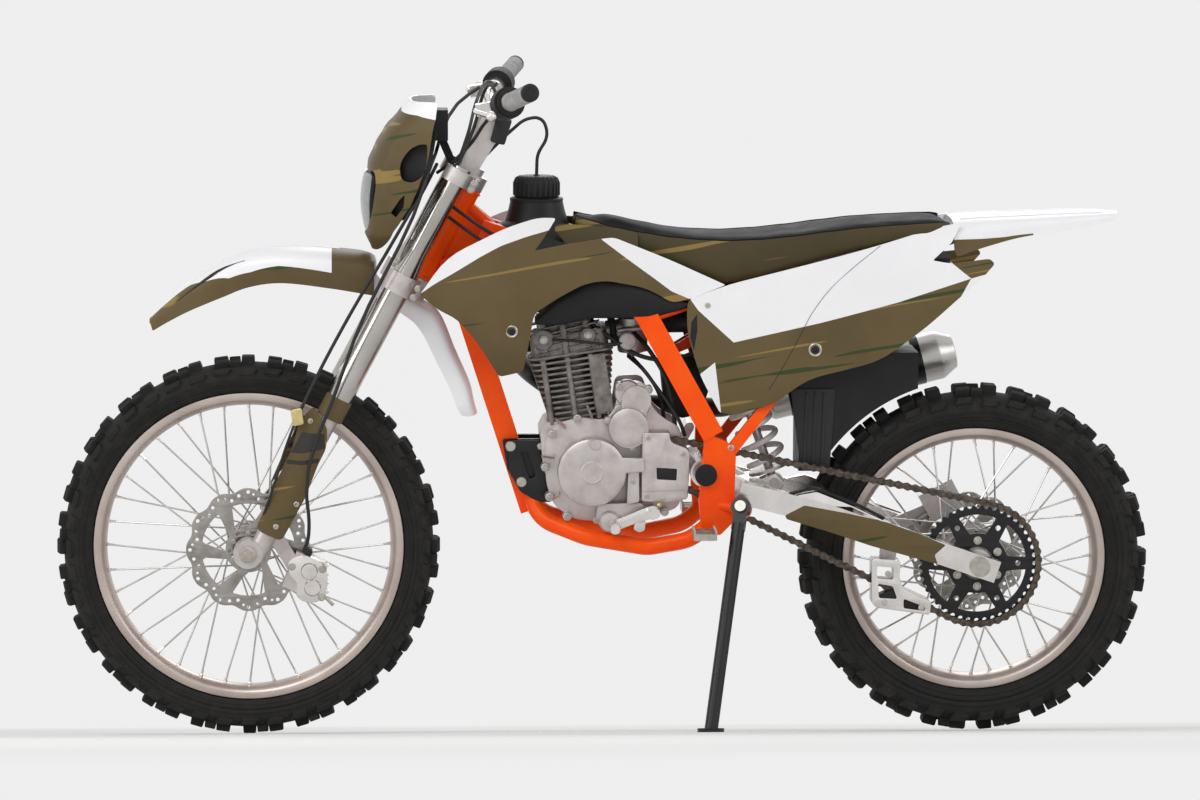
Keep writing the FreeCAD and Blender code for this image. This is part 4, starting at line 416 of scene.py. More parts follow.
# Finish of one real surface.
# stops: colours over a slow mottling of mottle mm; grain: bump feature in mm, lift: its height in mm
def makeFinish(name, stops, mottle, rough, grain=1.5, lift=0.02, metal=0.0, coat=0.0, coatRough=0.05,
               specular=None, pattern="ShaderNodeTexNoise"):
    material = bpy.data.materials.new(name)
    material.use_nodes = True
    tree = material.node_tree
    shader = tree.nodes["Principled BSDF"]
    slow = addNode(tree, "ShaderNodeTexNoise", {"Vector": bikeSpace(tree, mottle), "Scale": 1.0,
                                                "Detail": 4.0, "Roughness": 0.6})
    ramp = addNode(tree, "ShaderNodeValToRGB", {"Fac": slow.outputs[0]})
    stops = stops.split()
    for _ in stops[2:]:
        ramp.color_ramp.elements.new(0.5)
    for i, (element, code) in enumerate(zip(ramp.color_ramp.elements, stops)):
        element.position = 0.32 + 0.36 * i / (len(stops) - 1)
        element.color = linear(code)
    tree.links.new(ramp.outputs[0], shader.inputs["Base Color"])
    wear = addNode(tree, "ShaderNodeMapRange", {"Value": slow.outputs[0], "From Min": 0.3, "From Max": 0.7,
                                                "To Min": rough[0], "To Max": rough[1]})
    tree.links.new(wear.outputs[0], shader.inputs["Roughness"])
    shader.inputs["Metallic"].default_value = metal
    if not metal:
        shader.inputs["IOR"].default_value = 1.5  # plastics, rubber and paint alike
    if coat:
        shader.inputs["Coat Weight"].default_value = coat
        shader.inputs["Coat Roughness"].default_value = coatRough
    if specular is not None:
        shader.inputs["Specular IOR Level"].default_value = specular
    if lift:
        fine = addNode(tree, pattern, {"Vector": bikeSpace(tree, grain), "Scale": 1.0})
        bump = addNode(tree, "ShaderNodeBump", {"Height": fine.outputs[0], "Strength": 1.0,
                                                "Distance": lift / 1000})
        tree.links.new(bump.outputs[0], shader.inputs["Normal"])
    return material


# Printed vinyl over moulded plastic: olive with long streaks of tan and dark green, of no maker's pattern
def camouflage(name, base, tan, green):
    material = makeFinish(name, base, 240, (0.42, 0.54), 2.2, 0.01, specular=0.25)
    tree = material.node_tree
    shader = tree.nodes["Principled BSDF"]
    ground = shader.inputs["Base Color"].links[0].from_socket
    for code, size, limit, offset in ((tan, (420, 120, 17), 0.655, 3.1),
                                      (green, (340, 120, 13), 0.675, 11.7)):
        space = addNode(tree, "ShaderNodeVectorMath", {0: bikeSpace(tree, size, -0.17), 1: (offset,) * 3},
                        operation="ADD")
        streak = addNode(tree, "ShaderNodeTexNoise", {"Vector": space.outputs[0], "Scale": 1.0, "Detail": 1.2,
                                                      "Roughness": 0.4, "Distortion": 0.15})
        mask = addNode(tree, "ShaderNodeMapRange", {"Value": streak.outputs[0], "From Min": limit,
                                                    "From Max": limit + 0.012})
        ground = addNode(tree, "ShaderNodeMix", {0: mask.outputs[0], 6: ground, 7: linear(code)},
                         data_type="RGBA").outputs[2]
    tree.links.new(ground, shader.inputs["Base Color"])
    return material


finishes = {
    # Steel tube in gloss powder coat: a soft orange-peel skin under a clear sheen
    "orange": makeFinish("powderCoatOrange", "F84600 FF5200 FF5A04", 90, (0.34, 0.44), 5, 0.05, coat=0.1,
                         coatRough=0.12, specular=0.15),
    # Pressure-cast aluminium, bead blasted: pale grey with a fine even grit
    "cast": makeFinish("castAluminium", "B6AFAD C6BFBD D0CAC8", 35, (0.38, 0.52), 1.6, 0.05, 0.8),
    # Barrel and head: the same casting, painted darker as shade for the shadow that falls between its fins
    "paintedShadeCast": makeFinish("castingWithPaintedShade", "6A6562 837E7A 9A9591", 18, (0.42, 0.6), 1.4, 0.06, 0.75),
    # Machined or tumbled aluminium, brighter than the casting
    "bright": makeFinish("brightAluminium", "D6D1CE E2DEDB EAE7E5", 45, (0.2, 0.3), 2.5, 0.012, 1.0),
    # Anodised aluminium rim: satin, a little warm
    "rim": makeFinish("anodisedRim", "B4A79F C4B7AF CEC2BA", 120, (0.3, 0.42), 2, 0.01, 0.8),
    # Drawn stainless wire
    "spoke": makeFinish("stainlessWire", "BDBBB8 D0CECB", 20, (0.22, 0.32), 2, 0, 1.0),
    # Fork tube, hard anodised and polished by its seals
    "fork": makeFinish("polishedTube", "A5A19C B5B1AC C2BEB9", 160, (0.16, 0.26), 3, 0.006, 1.0),
    # Zinc plated steel of bolts and pins
    "zinc": makeFinish("zincPlate", "A9A69E C4C1B8", 12, (0.3, 0.45), 1, 0.02, 1.0),
    # Brass or gold zinc of the hose's joints
    "brass": makeFinish("goldZinc", "CDBB80 E0D09A", 12, (0.28, 0.4), 1, 0.02, 1.0),
    # Brake disc: ground stainless, slightly blued where the pads run
    "disc": makeFinish("groundDisc", "8F8B86 A29E99 ABA7A2", 25, (0.28, 0.38), 1.2, 0.02, 0.9),
    # Roller chain: dark oiled steel
    "chain": makeFinish("oiledChain", "39332C 5A5148 6E655B", 9, (0.35, 0.55), 2, 0.03, 0.8),
    # Black stoved enamel on steel
    "blackMetal": makeFinish("blackEnamel", "0D0D0E 161618", 40, (0.3, 0.44), 3, 0.03, coat=0.1,
                             specular=0.35),
    # Injection-moulded black polypropylene with a fine spark texture
    "blackPlastic": makeFinish("blackPolypropylene", "111112 1A1A1C 212122", 50, (0.46, 0.62), 1.4, 0.04,
                               specular=0.3),
    # Rotomoulded polyethylene tank: matt, slightly pebbled
    "tank": makeFinish("polyethyleneTank", "0F0F10 19191B", 70, (0.4, 0.54), 3.5, 0.08, specular=0.3),
    # Injection-moulded white plastic, glossy, faintly scuffed
    "white": makeFinish("whitePlastic", "F0F0F2 F5F5F7", 140, (0.32, 0.42), 4, 0.01, coat=0.1),
    # Natural rubber compound of the tyres with dust in its moulding grain
    "tyre": makeFinish("tyreRubber", "141413 1E1D1C 2A2826", 28, (0.72, 0.9), 1.8, 0.12, specular=0.35),
    # Softer rubber of boots, hoses and seals
    "rubber": makeFinish("blackRubber", "121212 1C1C1C", 30, (0.5, 0.66), 1.5, 0.03),
    # Grip compound in grey
    "grip": makeFinish("greyGripRubber", "8A8887 A19F9E AFADAC", 20, (0.6, 0.75), 1.2, 0.06),
    # Seat cover: leathercloth with a pressed grain of about 2 mm, drawn a little coarse so that it shows
    "seatBlack": makeFinish("leatherclothBlack", "0E0E0E 161617", 60, (0.62, 0.78), 2.4, 0.14, specular=0.15,
                            pattern="ShaderNodeTexVoronoi"),
    # The seat's olive sides are darker than the plastics' print: partly their own darker cloth, partly
    # painted shade for sides that face away from the light above
    "seatOlive": camouflage("leatherclothOlive", "3F3720 483F26 4E4429", "86713F", "33431F"),
    "camo": camouflage("printedOlive", "594A2F 635435 68593A", "8E7641", "37451F"),
    # Dark decal band; the same dark is laid as painted shade along the front fender's creases
    "dark": makeFinish("darkVinylAndCreaseShade", "1E1C16 2A271E", 50, (0.4, 0.5), 3, 0.01),
    # Painted spring wire
    "spring": makeFinish("whiteEnamel", "DEDDDA EBEAE8", 40, (0.3, 0.4), 3, 0.03, coat=0.3),
    # Brushed aluminium can of the silencer
    "silencer": makeFinish("brushedCan", "B5B3B0 C8C6C3", (180, 6, 6), (0.28, 0.42), 1.5, 0.02, 0.95),
    # Red throttle and switch parts
    "red": makeFinish("redPlastic", "B01E16 C82A1E", 30, (0.35, 0.45), 2, 0.02),
    # Reflector behind the headlight glass
    "reflector": makeFinish("reflector", "C4C6C8 DADCDE", 18, (0.12, 0.22), 9, 0.3, 1.0),
}


# Polycarbonate lens: clear, a little smoked
def clearGlass(name, code):
    material = bpy.data.materials.new(name)
    material.use_nodes = True
    tree = material.node_tree
    shader = tree.nodes["Principled BSDF"]
    flutes = addNode(tree, "ShaderNodeTexWave", {"Vector": bikeSpace(tree, (1000, 9, 1000)), "Scale": 0.5},
                     bands_direction="Y")
    bump = addNode(tree, "ShaderNodeBump", {"Height": flutes.outputs[0], "Strength": 0.5, "Distance": 0.0006})
    tree.links.new(bump.outputs[0], shader.inputs["Normal"])
    shader.inputs["Base Color"].default_value = linear(code)
    shader.inputs["Roughness"].default_value = 0.06
    shader.inputs["IOR"].default_value = 1.58
    shader.inputs["Transmission Weight"].default_value = 0.75
    return material


finishes["lens"] = clearGlass("smokedLens", "C9CCCE")

print("finishes:", len(finishes))

wheels = {
    "front": {
        "centre": stance["frontAxle"], "tyre": 347.0, "crown": 334.0, "flange": 280.0, "width": 82.0,
        "inside": 42.0, "rows": 44, "barrel": 24.0, "hubFlange": 40.0, "hubHalf": 44.0,
        "hubEnds": (-64.0, 44.0), "well": 256.0, "axle": 10.06, "knob": 12.0,
        "disc": {"node": "front_disc", "radius": 112.0, "inner": 88.0, "bore": 24.2, "low": -62.0,
                 "outward": -1},
    },
    "rear": {
        "centre": stance["rearAxle"], "tyre": 320.5, "crown": 304.0, "flange": 240.0, "width": 104.0,
        "inside": 54.0, "rows": 38, "barrel": 30.0, "hubFlange": 58.0, "hubHalf": 56.0,
        "hubEnds": (-86.0, 66.0), "well": 216.0, "axle": 11.06, "knob": 15.0,
        "disc": {"node": "rear_wheel_disc", "radius": 110.0, "inner": 86.0, "bore": 30.2, "low": 60.0,
                 "outward": 1},
    },
    # Blocks of the tread, row about: side, turn in rows, length, width and height as shares, and skew
    "tread": (((0, 0, 0.5, 0.42, 1, 0), (0.5, 0, 0.5, 0.26, 0.95, 0), (0.8, 0, 0.56, 0.24, 0.8, 0.06)),
              ((0.2, 0, 0.46, 0.34, 1, 0), (0.55, 0.5, 0.4, 0.22, 0.9, 0), (0.84, 0, 0.56, 0.24, 0.8, 0.06))),
    "spokes": 36, "discThick": 4.0, "waves": 12,
}


# Half of the carcass from bead to crown, as side and radius
def carcassSide(w):
    half, low, rise = w["width"] / 2 - 3.5, w["flange"], w["crown"] - w["flange"]
    bead = w["inside"] / 2
    return [(bead - 1, low - 9), (bead - 1, low + 1), (bead + 5, low + 2.5)] + [
        (half * wide, low + rise * up) for wide, up in (
            (0.82, 0.14), (0.86, 0.17), (0.85, 0.2), (0.96, 0.4), (1, 0.56), (0.965, 0.7), (0.86, 0.82),
            (0.66, 0.91), (0.35, 0.98))]


# Block of tread: its middle side and angle, its length round the tyre, its width across and its height
def treadBlock(w, side, angle, length, across, height, skew):
    half, rise = w["width"] / 2 - 3.5, w["crown"] - w["flange"]
    share = min(1.0, abs(side) / half)
    slope = rise * (0.20 * share + 1.8 * share ** 4) / half
    away = Vector((slope * (1 if side >= 0 else -1), 1.0)).normalized()
    place = Vector((side, w["crown"] - rise * (0.10 * share ** 2 + 0.36 * share ** 5)))
    along = Vector((away.y, -away.x))
    rows = []
    for depth, inset in ((-5.0, -1.6), (height - 1.6, 0.0), (height, 1.5)):
        ring = []
        for sa, sl in ((-1, -1), (1, -1), (1, 1), (-1, 1)):
            spot = place + away * depth + along * (sa * (across / 2 - inset))
            turn = angle + (sl * (length / 2 - inset) + skew * sa) / w["crown"]
            reach = max(-w["width"] / 2, min(w["width"] / 2, spot.x))
            ring.append(roundAxle(w["centre"], turn, min(spot.y, w["tyre"]), reach))
        rows.append(ring)
    return loft(rows)


def tyreForm(w):
    side = carcassSide(w)
    profile = [(-s, r) for s, r in side] + [(0, w["crown"])] + side[::-1]
    forms = [turned(profile, w["centre"], rightward, 144, closed=True)]
    half, rise = w["width"] / 2, w["crown"] - w["flange"]
    step = 2 * pi / w["rows"]
    pitch = step * w["crown"]
    for k in range(w["rows"]):
        angle = step * k
        for sign in (-1, 1):
            for out, ahead, length, across, height, skew in wheels["tread"][k % 2]:
                if out or sign > 0:
                    forms.append(treadBlock(w, sign * half * out, angle + step * ahead, pitch * length,
                                            half * across, w["knob"] * height, pitch * skew * sign))
            # Short bars run down the shoulder below every block
            low, high = w["flange"] + rise * (0.5 if k % 2 else 0.58), w["crown"] - 8
            x = half * 0.965
            rows = []
            for radius, reach, wide in ((low, x - 5.5, 0.14), (low + 3, x - 1.2, 0.2),
                                        (high - 4, x - 1, 0.26), (high, x - 6, 0.26)):
                rows.append([roundAxle(w["centre"], angle + edge * pitch * wide / radius, radius,
                                       sign * (reach + deep))
                             for deep, edge in ((0, -1), (0, 1), (-7, 1), (-7, -1))])
            forms.append(loft(rows))
    # Moulding lines on the wall
    for share, inset in ((0.3, 5.4), (0.47, 3.9)):
        radius, place = w["flange"] + rise * share, half - inset
        for sign in (-1, 1):
            forms.append(turned([(sign * (place + out), radius + up) for out, up in (
                (-2, -1.1), (0.9, -0.5), (0.9, 0.5), (-2, 1.1))], w["centre"], rightward, 144, closed=True))
    return forms


def rimForm(w):
    inner, flange, well = w["inside"] / 2 + 0.2, w["flange"], w["well"]
    seat = flange - 13
    half = [(inner, seat + 2), (inner, flange - 0.5), (inner + 1.4, flange), (inner + 3.4, flange - 0.8),
            (inner + 4, flange - 3), (inner + 3.8, seat + 2.5), (inner + 2.2, seat - 1.2),
            (inner * 0.72, well + 3.6), (inner * 0.44, well + 0.8), (inner * 0.2, well)]
    back = [(inner * 0.25, well + 3.4), (inner * 0.6, well + 5.4), (inner * 0.86, seat - 0.6)]
    profile = [(-s, r) for s, r in half] + half[::-1] + back[::-1] + [(-s, r) for s, r in back]
    return turned(profile, w["centre"], rightward, 160, closed=True)


# Spokes cross as the hub's drill pattern has them; nipples stand on the rim's well
def lacing(w):
    spokes, nipples = [], []
    for k, angle in enumerate(turns(wheels["spokes"])):
        side = -1 if k % 2 else 1
        cross = radians(58.0) * (1 if k // 2 % 2 else -1)
        inner = side * (w["hubHalf"] - 15.0 + (2.2 if cross > 0 else -2.2))
        start = roundAxle(w["centre"], angle + cross, w["hubFlange"] - 4.4, inner)
        end = roundAxle(w["centre"], angle, w["well"] + 1, side * 7.0)
        run = (end - start).normalized()
        spokes += [sweep([start - run * 2, start + run * 5, end - run * 8], roundLoop(1.75, 8),
                         grow=(1.25, 1, 1)),
                   pin(start - rightward * 3.6, start + rightward * 3.6, 2.6, 0.8, 8)]
        nipples.append(turned([(0, 2.3), (9, 2.5), (10, 3.4), (14, 3.6), (15, 2.6)], end - run * 14, run, 6))
    return spokes, nipples


def hubForm(w):
    bore, barrel, flange = w["axle"], w["barrel"], w["hubFlange"]
    edge, (left, right) = w["hubHalf"] - 12.0, w["hubEnds"]
    half = [(edge - 13, barrel * 0.9), (edge - 6, flange - 11), (edge - 6, flange - 1), (edge - 5, flange),
            (edge - 1, flange), (edge, flange - 1), (edge, flange - 12), (edge + 3, barrel * 0.95)]
    profile = [(left, bore), (left, barrel * 0.86),
               (left + 2, barrel * 0.9)] + [(-s, r) for s, r in reversed(half)] + [
        (0, barrel * 0.8)] + half + [(right - 2, barrel * 0.9), (right, barrel * 0.86), (right, bore)]
    return turned(profile, w["centre"], rightward, 72, closed=True)


# Window between arcs, each given as its radius, first and last angle and number of places
def arcWindow(centre, *arcs):
    loop = []
    for radius, start, end, count in arcs:
        loop += circle(centre, radius, [start + (end - start) * j / (count - 1) for j in range(count)])
    return loop


# Wave-edged brake disc with its drillings and a spider of swept arms
def discForm(centre, d):
    steps, wave = wheels["waves"] * 14, 6.5
    outer = [circle(centre, d["radius"] - wave * (0.5 - 0.5 * cos(turn)) ** 1.6, [angle])[0]
             for angle, turn in zip(turns(steps), turns(14) * wheels["waves"])]
    loops = [outer, circle(centre, d["bore"], turns(40))]
    for angle in turns(wheels["waves"]):
        for turn, inset, size in ((0.0, 7, 3.4), (0.17, 12.5, 3.2), (0.32, 18, 3.2), (0.43, 11, 2.4)):
            hole = circle(centre, d["radius"] - inset, [angle + turn])[0]
            loops.append(circle(hole, size, turns(12)))
    for k in range(6):
        start, end = 2 * pi * (k + 0.16) / 6, 2 * pi * (k + 0.84) / 6
        loops.append(rounded(arcWindow(centre, (d["inner"] - 4, start, end, 9),
                                    (d["bore"] + 17, end + 0.26, start + 0.26, 9)), 5, 3))
        loops.append(circle(circle(centre, d["bore"] + 9, [2 * pi * k / 6 + 0.06])[0], 3.4, turns(12)))
    return plate(loops, d["low"], d["low"] + wheels["discThick"], 0.5)


for label in ("front", "rear"):
    w, body = wheels[label], label + "_wheel"
    d = w["disc"]
    spokes, nipples = lacing(w)
    face = d["low"] if d["outward"] < 0 else d["low"] + wheels["discThick"]
    bolts = [capScrew(roundAxle(w["centre"], angle, d["bore"] + 6, face), rightward * d["outward"], 4.6, 3.2)
             for angle in turns(6, 0.5)]
    makePiece(label + "_tyre_treaded", tyreForm(w), "tyre", body=body, replaces=label + "_tyre", sharp=30)
    makePiece(label + "_rim_rolled", rimForm(w), "rim", body=body, replaces=label + "_rim", sharp=40)
    makePiece(label + "_spokes", spokes, "spoke", body=body, replaces=label + "_hub")
    makePiece(label + "_nipples", nipples, "bright", body=body)
    makePiece(label + "_hub_turned", hubForm(w), "cast", body=body, sharp=30)
    makePiece(label + "_disc_drilled", discForm(w["centre"], d), "disc", body=body, replaces=d["node"],
              sharp=30)
    makePiece(label + "_disc_bolts", bolts, "zinc", body=body)
print("wheels made")

# Values of a table at a place along it, eased a little
def along(table, x):
    for (a, *low), (b, *high) in zip(table, table[1:]):
        if x <= b:
            share = max(0.0, (x - a) / (b - a))
            share = share * share * (3 - 2 * share) * 0.4 + share * 0.6
            return [p + (q - p) * share for p, q in zip(low, high)]
    return list(table[-1][1:])


shroud = {
    "outline": ((-350, 821, 4), (-303, 888, 40), (-198, 940, 60), (-140, 957, 20), (-108, 956, 6),
                (-119, 938, 4), (-129, 923, 3), (-86, 910, 4), (-26, 918, 6), (-4, 920, 8), (90, 882, 30),
                (196, 834, 4), (133, 809, 6), (102, 801, 20), (56, 829, 30), (-20, 844, 24), (-58, 838, 24),
                (-104, 814, 20), (-147, 786, 12), (-160, 712, 12), (-166, 682, 8), (-209, 673, 8),
                (-249, 737, 60), (-283, 777, 20), (-320, 795, 20)),
    "band": ((-366, 818), (-350, 822), (-326, 839), (-288, 861), (-244, 888), (-207, 908), (-160, 924),
             (-122, 934), (-90, 950), (-110, 980), (-198, 965), (-320, 900)),
    "wedge": ((-29, 925), (-27, 917), (22, 880), (70, 845), (99, 823), (134, 808), (210, 833), (90, 894),
              (-2, 930)),
    "vent": ((-146, 899), (-128, 924), (-116, 934), (-100, 925), (-83, 911)),
    "plan": ((-356, 155.0), (-214, 160.0), (-106, 144.5), (19, 126.6), (116, 117.2), (240, 116.9)),
    "crown": 9.0, "middle": 835.0, "wall": 3.6, "bolt": (-187, 755),
}
panel = {
    "outline": ((130, 808, 8), (198, 834, 30), (328, 867, 60), (473, 905, 60), (574, 936, 20), (620, 944, 4),
                (602, 908, 6), (568, 877, 4), (601, 871, 12), (672, 879, 5), (681, 870, 5), (661, 847, 20),
                (614, 807, 40), (554, 754, 40), (473, 697, 30), (344, 665, 30), (284, 619, 20), (218, 600, 8),
                (188, 603, 6), (150, 673, 30), (128, 749, 30), (127, 790, 10)),
    "white": ((147, 789), (211, 731), (364, 766), (507, 803), (638, 844), (604, 871), (640, 960), (590, 965),
              (473, 930), (328, 885), (198, 855), (125, 820)),
    "wedge": ((638, 844), (668, 852), (612, 798)),
    "triangle": ((146, 670), (152, 674), (178, 695), (190, 604), (180, 596)),
    "slot": ((145, 782), (146, 754), (140, 716), (133, 740), (135, 768)),
    "seam": ((473, 904), (420, 862), (380, 824), (352, 786), (339, 762), (321, 726), (298, 684), (275, 645)),
    "plan": ((80, 121.3), (193, 121.3), (403, 127.0), (720, 103.0)),
    "crown": 8.0, "middle": 760.0, "wall": 3.6, "bolt": (357, 718), "rivet": (164, 798),
}


def sideSurface(p):
    def place(x, z):
        reach = along(p["plan"], x)[0] - p["crown"] * ((z - p["middle"]) / 150) ** 2
        return Vector((x, -reach, z))
    return place


# Screw on a panel with its washer and a dark socket-headed screw
def panelScrew(p, x, z, radius=8.0):
    place = sideSurface(p)(x, z)
    cup = turned([(-3, radius + 3), (0.8, radius + 3), (1.6, radius + 1.8), (0.6, radius)],
                 place, leftward, 24)
    return joined(cup, painted(capScrew(place + leftward * 0.4, leftward, radius * 0.8, 3), 1))


coverSkins = {
    "shroud": skin(rounded(shroud["outline"], 10), sideSurface(shroud), shroud["wall"],
                   [(rounded(shroud["band"], 10), 1), (rounded(shroud["wedge"], 4), 1), (shroud["vent"], 2)]),
    "side_panel": skin(rounded(panel["outline"], 12), sideSurface(panel), panel["wall"],
                       [(panel["white"], 1), (panel["wedge"], 1), (panel["triangle"], 1),
                        (panel["slot"], 2)]),
}
surface = sideSurface(panel)
coverScrews = {
    "shroud": ("_screw", panelScrew(shroud, *shroud["bolt"])),
    "side_panel": ("_screws", joined(panelScrew(panel, *panel["bolt"], 9.0),
                                     capScrew(surface(*panel["rivet"]), leftward, 5.0, 2.0))),
}
coverMounts = {
    "shroud": [pin((-104, -141, 845), (-104, -96, 845), 9, 1),
               pin((-187, -150, 755), (-187, -92, 757), 6, 1)],
    "side_panel": [pin((185, -116, 814), (185, -72, 814), 9, 1),
                   pin((352, -122, 725), (352, -80, 725), 9, 1)],
}
seamLine = smoothLine([surface(x, z) + Vector((0, -0.25, 0)) for x, z in panel["seam"]], 6)
seam = sweep(seamLine, softLoop(0.6, 1.0, 0.2, 2))
for label, turn in (("_left", whole), ("_right", flipped)):
    for cover, form in coverSkins.items():
        ending, screws = coverScrews[cover]
        makePiece(cover + label + "_moulded", turn(form), "camo", "white", "blackPlastic",
                  replaces=cover + label, soft=0.9, sharp=50)
        makePiece(cover + label + ending, turn(screws), "zinc", "blackMetal")
        makePiece(cover + label + "_mounts", turn(coverMounts[cover]), "blackPlastic")
    makePiece("side_panel" + label + "_seam", turn(seam), "dark")
print("shrouds and side panels made")

# Seat: a foam pad under black leathercloth, with olive sides that reach down over the tank and the rails.
# Stations: X, half width, lower edge, piping, crown
seat = {
    "stations": ((-70, 44, 938, 950, 960), (-45, 56, 918, 944, 956), (-3.5, 74, 895, 934, 947),
                 (50, 87, 876, 925, 935), (98, 95, 861, 918, 925), (150, 101, 847, 914, 918),
                 (199, 105, 838, 912, 916), (260, 109, 848, 915, 919), (320, 111, 867, 921, 925),
                 (380, 111.5, 884, 929, 933), (442, 111, 899, 936, 941), (500, 108, 911, 940, 945),
                 (556, 103, 921, 943, 948), (585, 97, 928, 944, 947), (608, 90, 935, 941, 945)),
    "foam": 34.0, "voxel": 0.0055, "cap": 0.0045, "pressure": 4.0,
}


def padForm():
    rings = []
    for x in [-70 + 678 * k / 60 for k in range(61)]:
        half, low, piping, crown = along(seat["stations"], x)
        under = max(piping - seat["foam"], low + 2)
        half -= 3
        ring = []
        for k in range(17):
            share = -1 + 2 * k / 16
            height = piping - 3 + (crown - piping) * (1 - abs(share) ** 2.6)
            ring.append(Vector((x, half * share, height)))
        for share in (1.0, 0.5, 0, -0.5, -1.0):
            ring.append(Vector((x, half * share * 0.93, under)))
        rings.append(ring)
    return loft(rings)


pad = makePiece("seat_pad", padForm(), "seatBlack", replaces="seat", sharp=180)


# Foam swells a little under its cover: cloth with pressure, held close to the pad's cut shape
def swell(part, voxel, pressure, cap, frames=20):
    bpy.context.view_layer.objects.active = part
    remesh = part.modifiers.new("remesh", "REMESH")
    remesh.mode = "VOXEL"
    remesh.voxel_size = voxel
    ready = bpy.data.meshes.new_from_object(part.evaluated_get(bpy.context.evaluated_depsgraph_get()))
    part.modifiers.clear()
    part.data = ready
    start = [v.co.copy() for v in ready.vertices]
    cloth = part.modifiers.new("cover", "CLOTH")
    cloth.settings.use_pressure = True
    cloth.settings.uniform_pressure_force = pressure
    cloth.settings.effector_weights.gravity = 0
    cloth.settings.tension_stiffness = cloth.settings.compression_stiffness = 20
    cloth.settings.bending_stiffness = 2
    cloth.point_cache.frame_start, cloth.point_cache.frame_end = 1, frames
    for number in range(1, frames + 1):
        bpy.context.scene.frame_set(number)
    done = part.evaluated_get(bpy.context.evaluated_depsgraph_get()).to_mesh()
    for point, v, was in zip(ready.vertices, done.vertices, start):
        move = v.co - was
        if move.length > cap:
            move = move.normalized() * cap
        point.co = was + move
    part.modifiers.clear()
    bpy.context.scene.frame_set(1)
    work = bmesh.new()
    work.from_mesh(ready)
    for _ in range(4):
        bmesh.ops.smooth_vert(work, verts=work.verts, factor=0.5, use_axis_x=True, use_axis_y=True,
                              use_axis_z=True)
    work.to_mesh(ready)
    work.free()
    ready.polygons.foreach_set("use_smooth", [True] * len(ready.polygons))
    ready.materials.clear()


swell(pad, seat["voxel"], seat["pressure"], seat["cap"])
pad.data.materials.append(finishes["seatBlack"])


# Side of the cover: from the piping down, bulging over the foam and tucked in at its hem
def coverSide(u, v):
    half, low, piping = along(seat["stations"], u)[:3]
    share = v / 100
    bulge = sin(pi * min(1, share * 0.9 + 0.1)) * 3.5
    return Vector((u, -(half - 1.5 + bulge - 5 * share ** 4), piping - 1 + (low - piping) * share))


sideForm = skin(((-69, 0), (599, 0), (599, 100), (-69, 100)), coverSide, 3.0)
makePiece("seat_sides", bothSides(sideForm), "seatOlive", soft=0.6, sharp=60)
piping = sweep([coverSide(x, 0) + Vector((0, 0.8, 1.2)) for x in range(-69, 600, 6)], roundLoop(1.7, 8))
stitches = []
for k in range(150):
    x = -60 + k * 4.4
    start, end = coverSide(x, 9) + Vector((0, -0.5, 0)), coverSide(x + 2.8, 9) + Vector((0, -0.5, 0))
    stitches.append(sweep([start, (start + end) / 2 + Vector((0, -0.35, 0)), end], roundLoop(0.45, 5)))
# Wing of the cover that laps the tank ahead of the seat
wingLoop = rounded(((-110, 932), (-101, 941), (-50, 938), (8, 932), (40, 925), (40, 898), (-10, 902),
                    (-84, 900)), 6)
wing = skin(wingLoop, lambda x, z: Vector((x, -(80 + (945 - z) * 0.5), z)), 2.4)
makePiece("seat_wings", bothSides(wing), "seatOlive", sharp=60)
makePiece("seat_piping", bothSides(piping), "seatBlack")
makePiece("seat_stitches", bothSides(stitches), "dark", slot="seat_cover")
print("seat made")

# Tank: stations are X, half width, low and high, as the CAD solid's; its neck carries the ribbed cap
tank = {
    "stations": ((-213, 50, 880, 931), (-180, 78, 841, 944), (-132, 102, 789, 945), (-77, 111, 793, 932),
                 (-20, 110, 800, 905), (25, 107, 803, 874), (75, 103, 810, 862), (128, 84, 822, 846)),
    "neck": Vector((-138, 0, 930)), "capRadius": 43.0, "ribs": 26,
}
rings = []
for k in range(41):
    x = -213 + 341 * k / 40
    half, low, high = along(tank["stations"], x)
    ring = []
    for angle in turns(28):
        c, s = cos(angle), sin(angle)
        wide = half * (abs(c) ** 0.62) * (1 if c > 0 else -1)
        tall = (abs(s) ** 0.8) * (1 if s > 0 else -1)
        middle = low + (high - low) * 0.38
        ring.append(Vector((x, wide * (1 - 0.1 * max(0, tall)),
                            middle + (high - middle) * tall if tall > 0 else middle + (middle - low) * tall)))
    rings.append(ring)
neck = turned([(-6, 62), (8, 57), (16, 54.5), (30, 50.5), (44, 47.5), (50, 46), (52, 43), (52, 30)],
              tank["neck"], upward, 64)
makePiece("tank_moulded", joined(loft(rings), neck), "tank", replaces="fuel_tank", sharp=50)
# The belly that shows between the shroud and the engine
belly = []
for k in range(33):
    x = -144 + 280 * k / 32
    top, low = along(((-144, 775, 762), (-99, 822, 760), (-40, 850, 772), (20, 850, 772), (60, 838, 772),
                      (103, 812, 784), (136, 802, 794)), x)
    rise = top - low
    reach = 30 + 6 * max(0.0, 1 - abs(x - 50) / 70)
    belly.append([Vector((x, -(84 + w * reach), low + rise * h)) for w, h in (
        (0.2, 0.0), (0.85, 0.02), (0.98, 0.12), (1.0, 0.34), (1.0, 0.55), (0.95, 0.8), (0.7, 0.97),
        (0.2, 1.0))])
makePiece("tank_belly", bothSides(loft(belly)), "tank", sharp=60)
capBase = tank["neck"] + Vector((0, 0, 52.2))
radius = tank["capRadius"]
cap = turned([(0, radius - 4), (2, radius - 2.4), (26, radius - 2.6), (32, radius - 4.5), (36.5, radius - 10),
              (38, radius - 18), (38, 8)], capBase, upward, 78)
capRibs = []
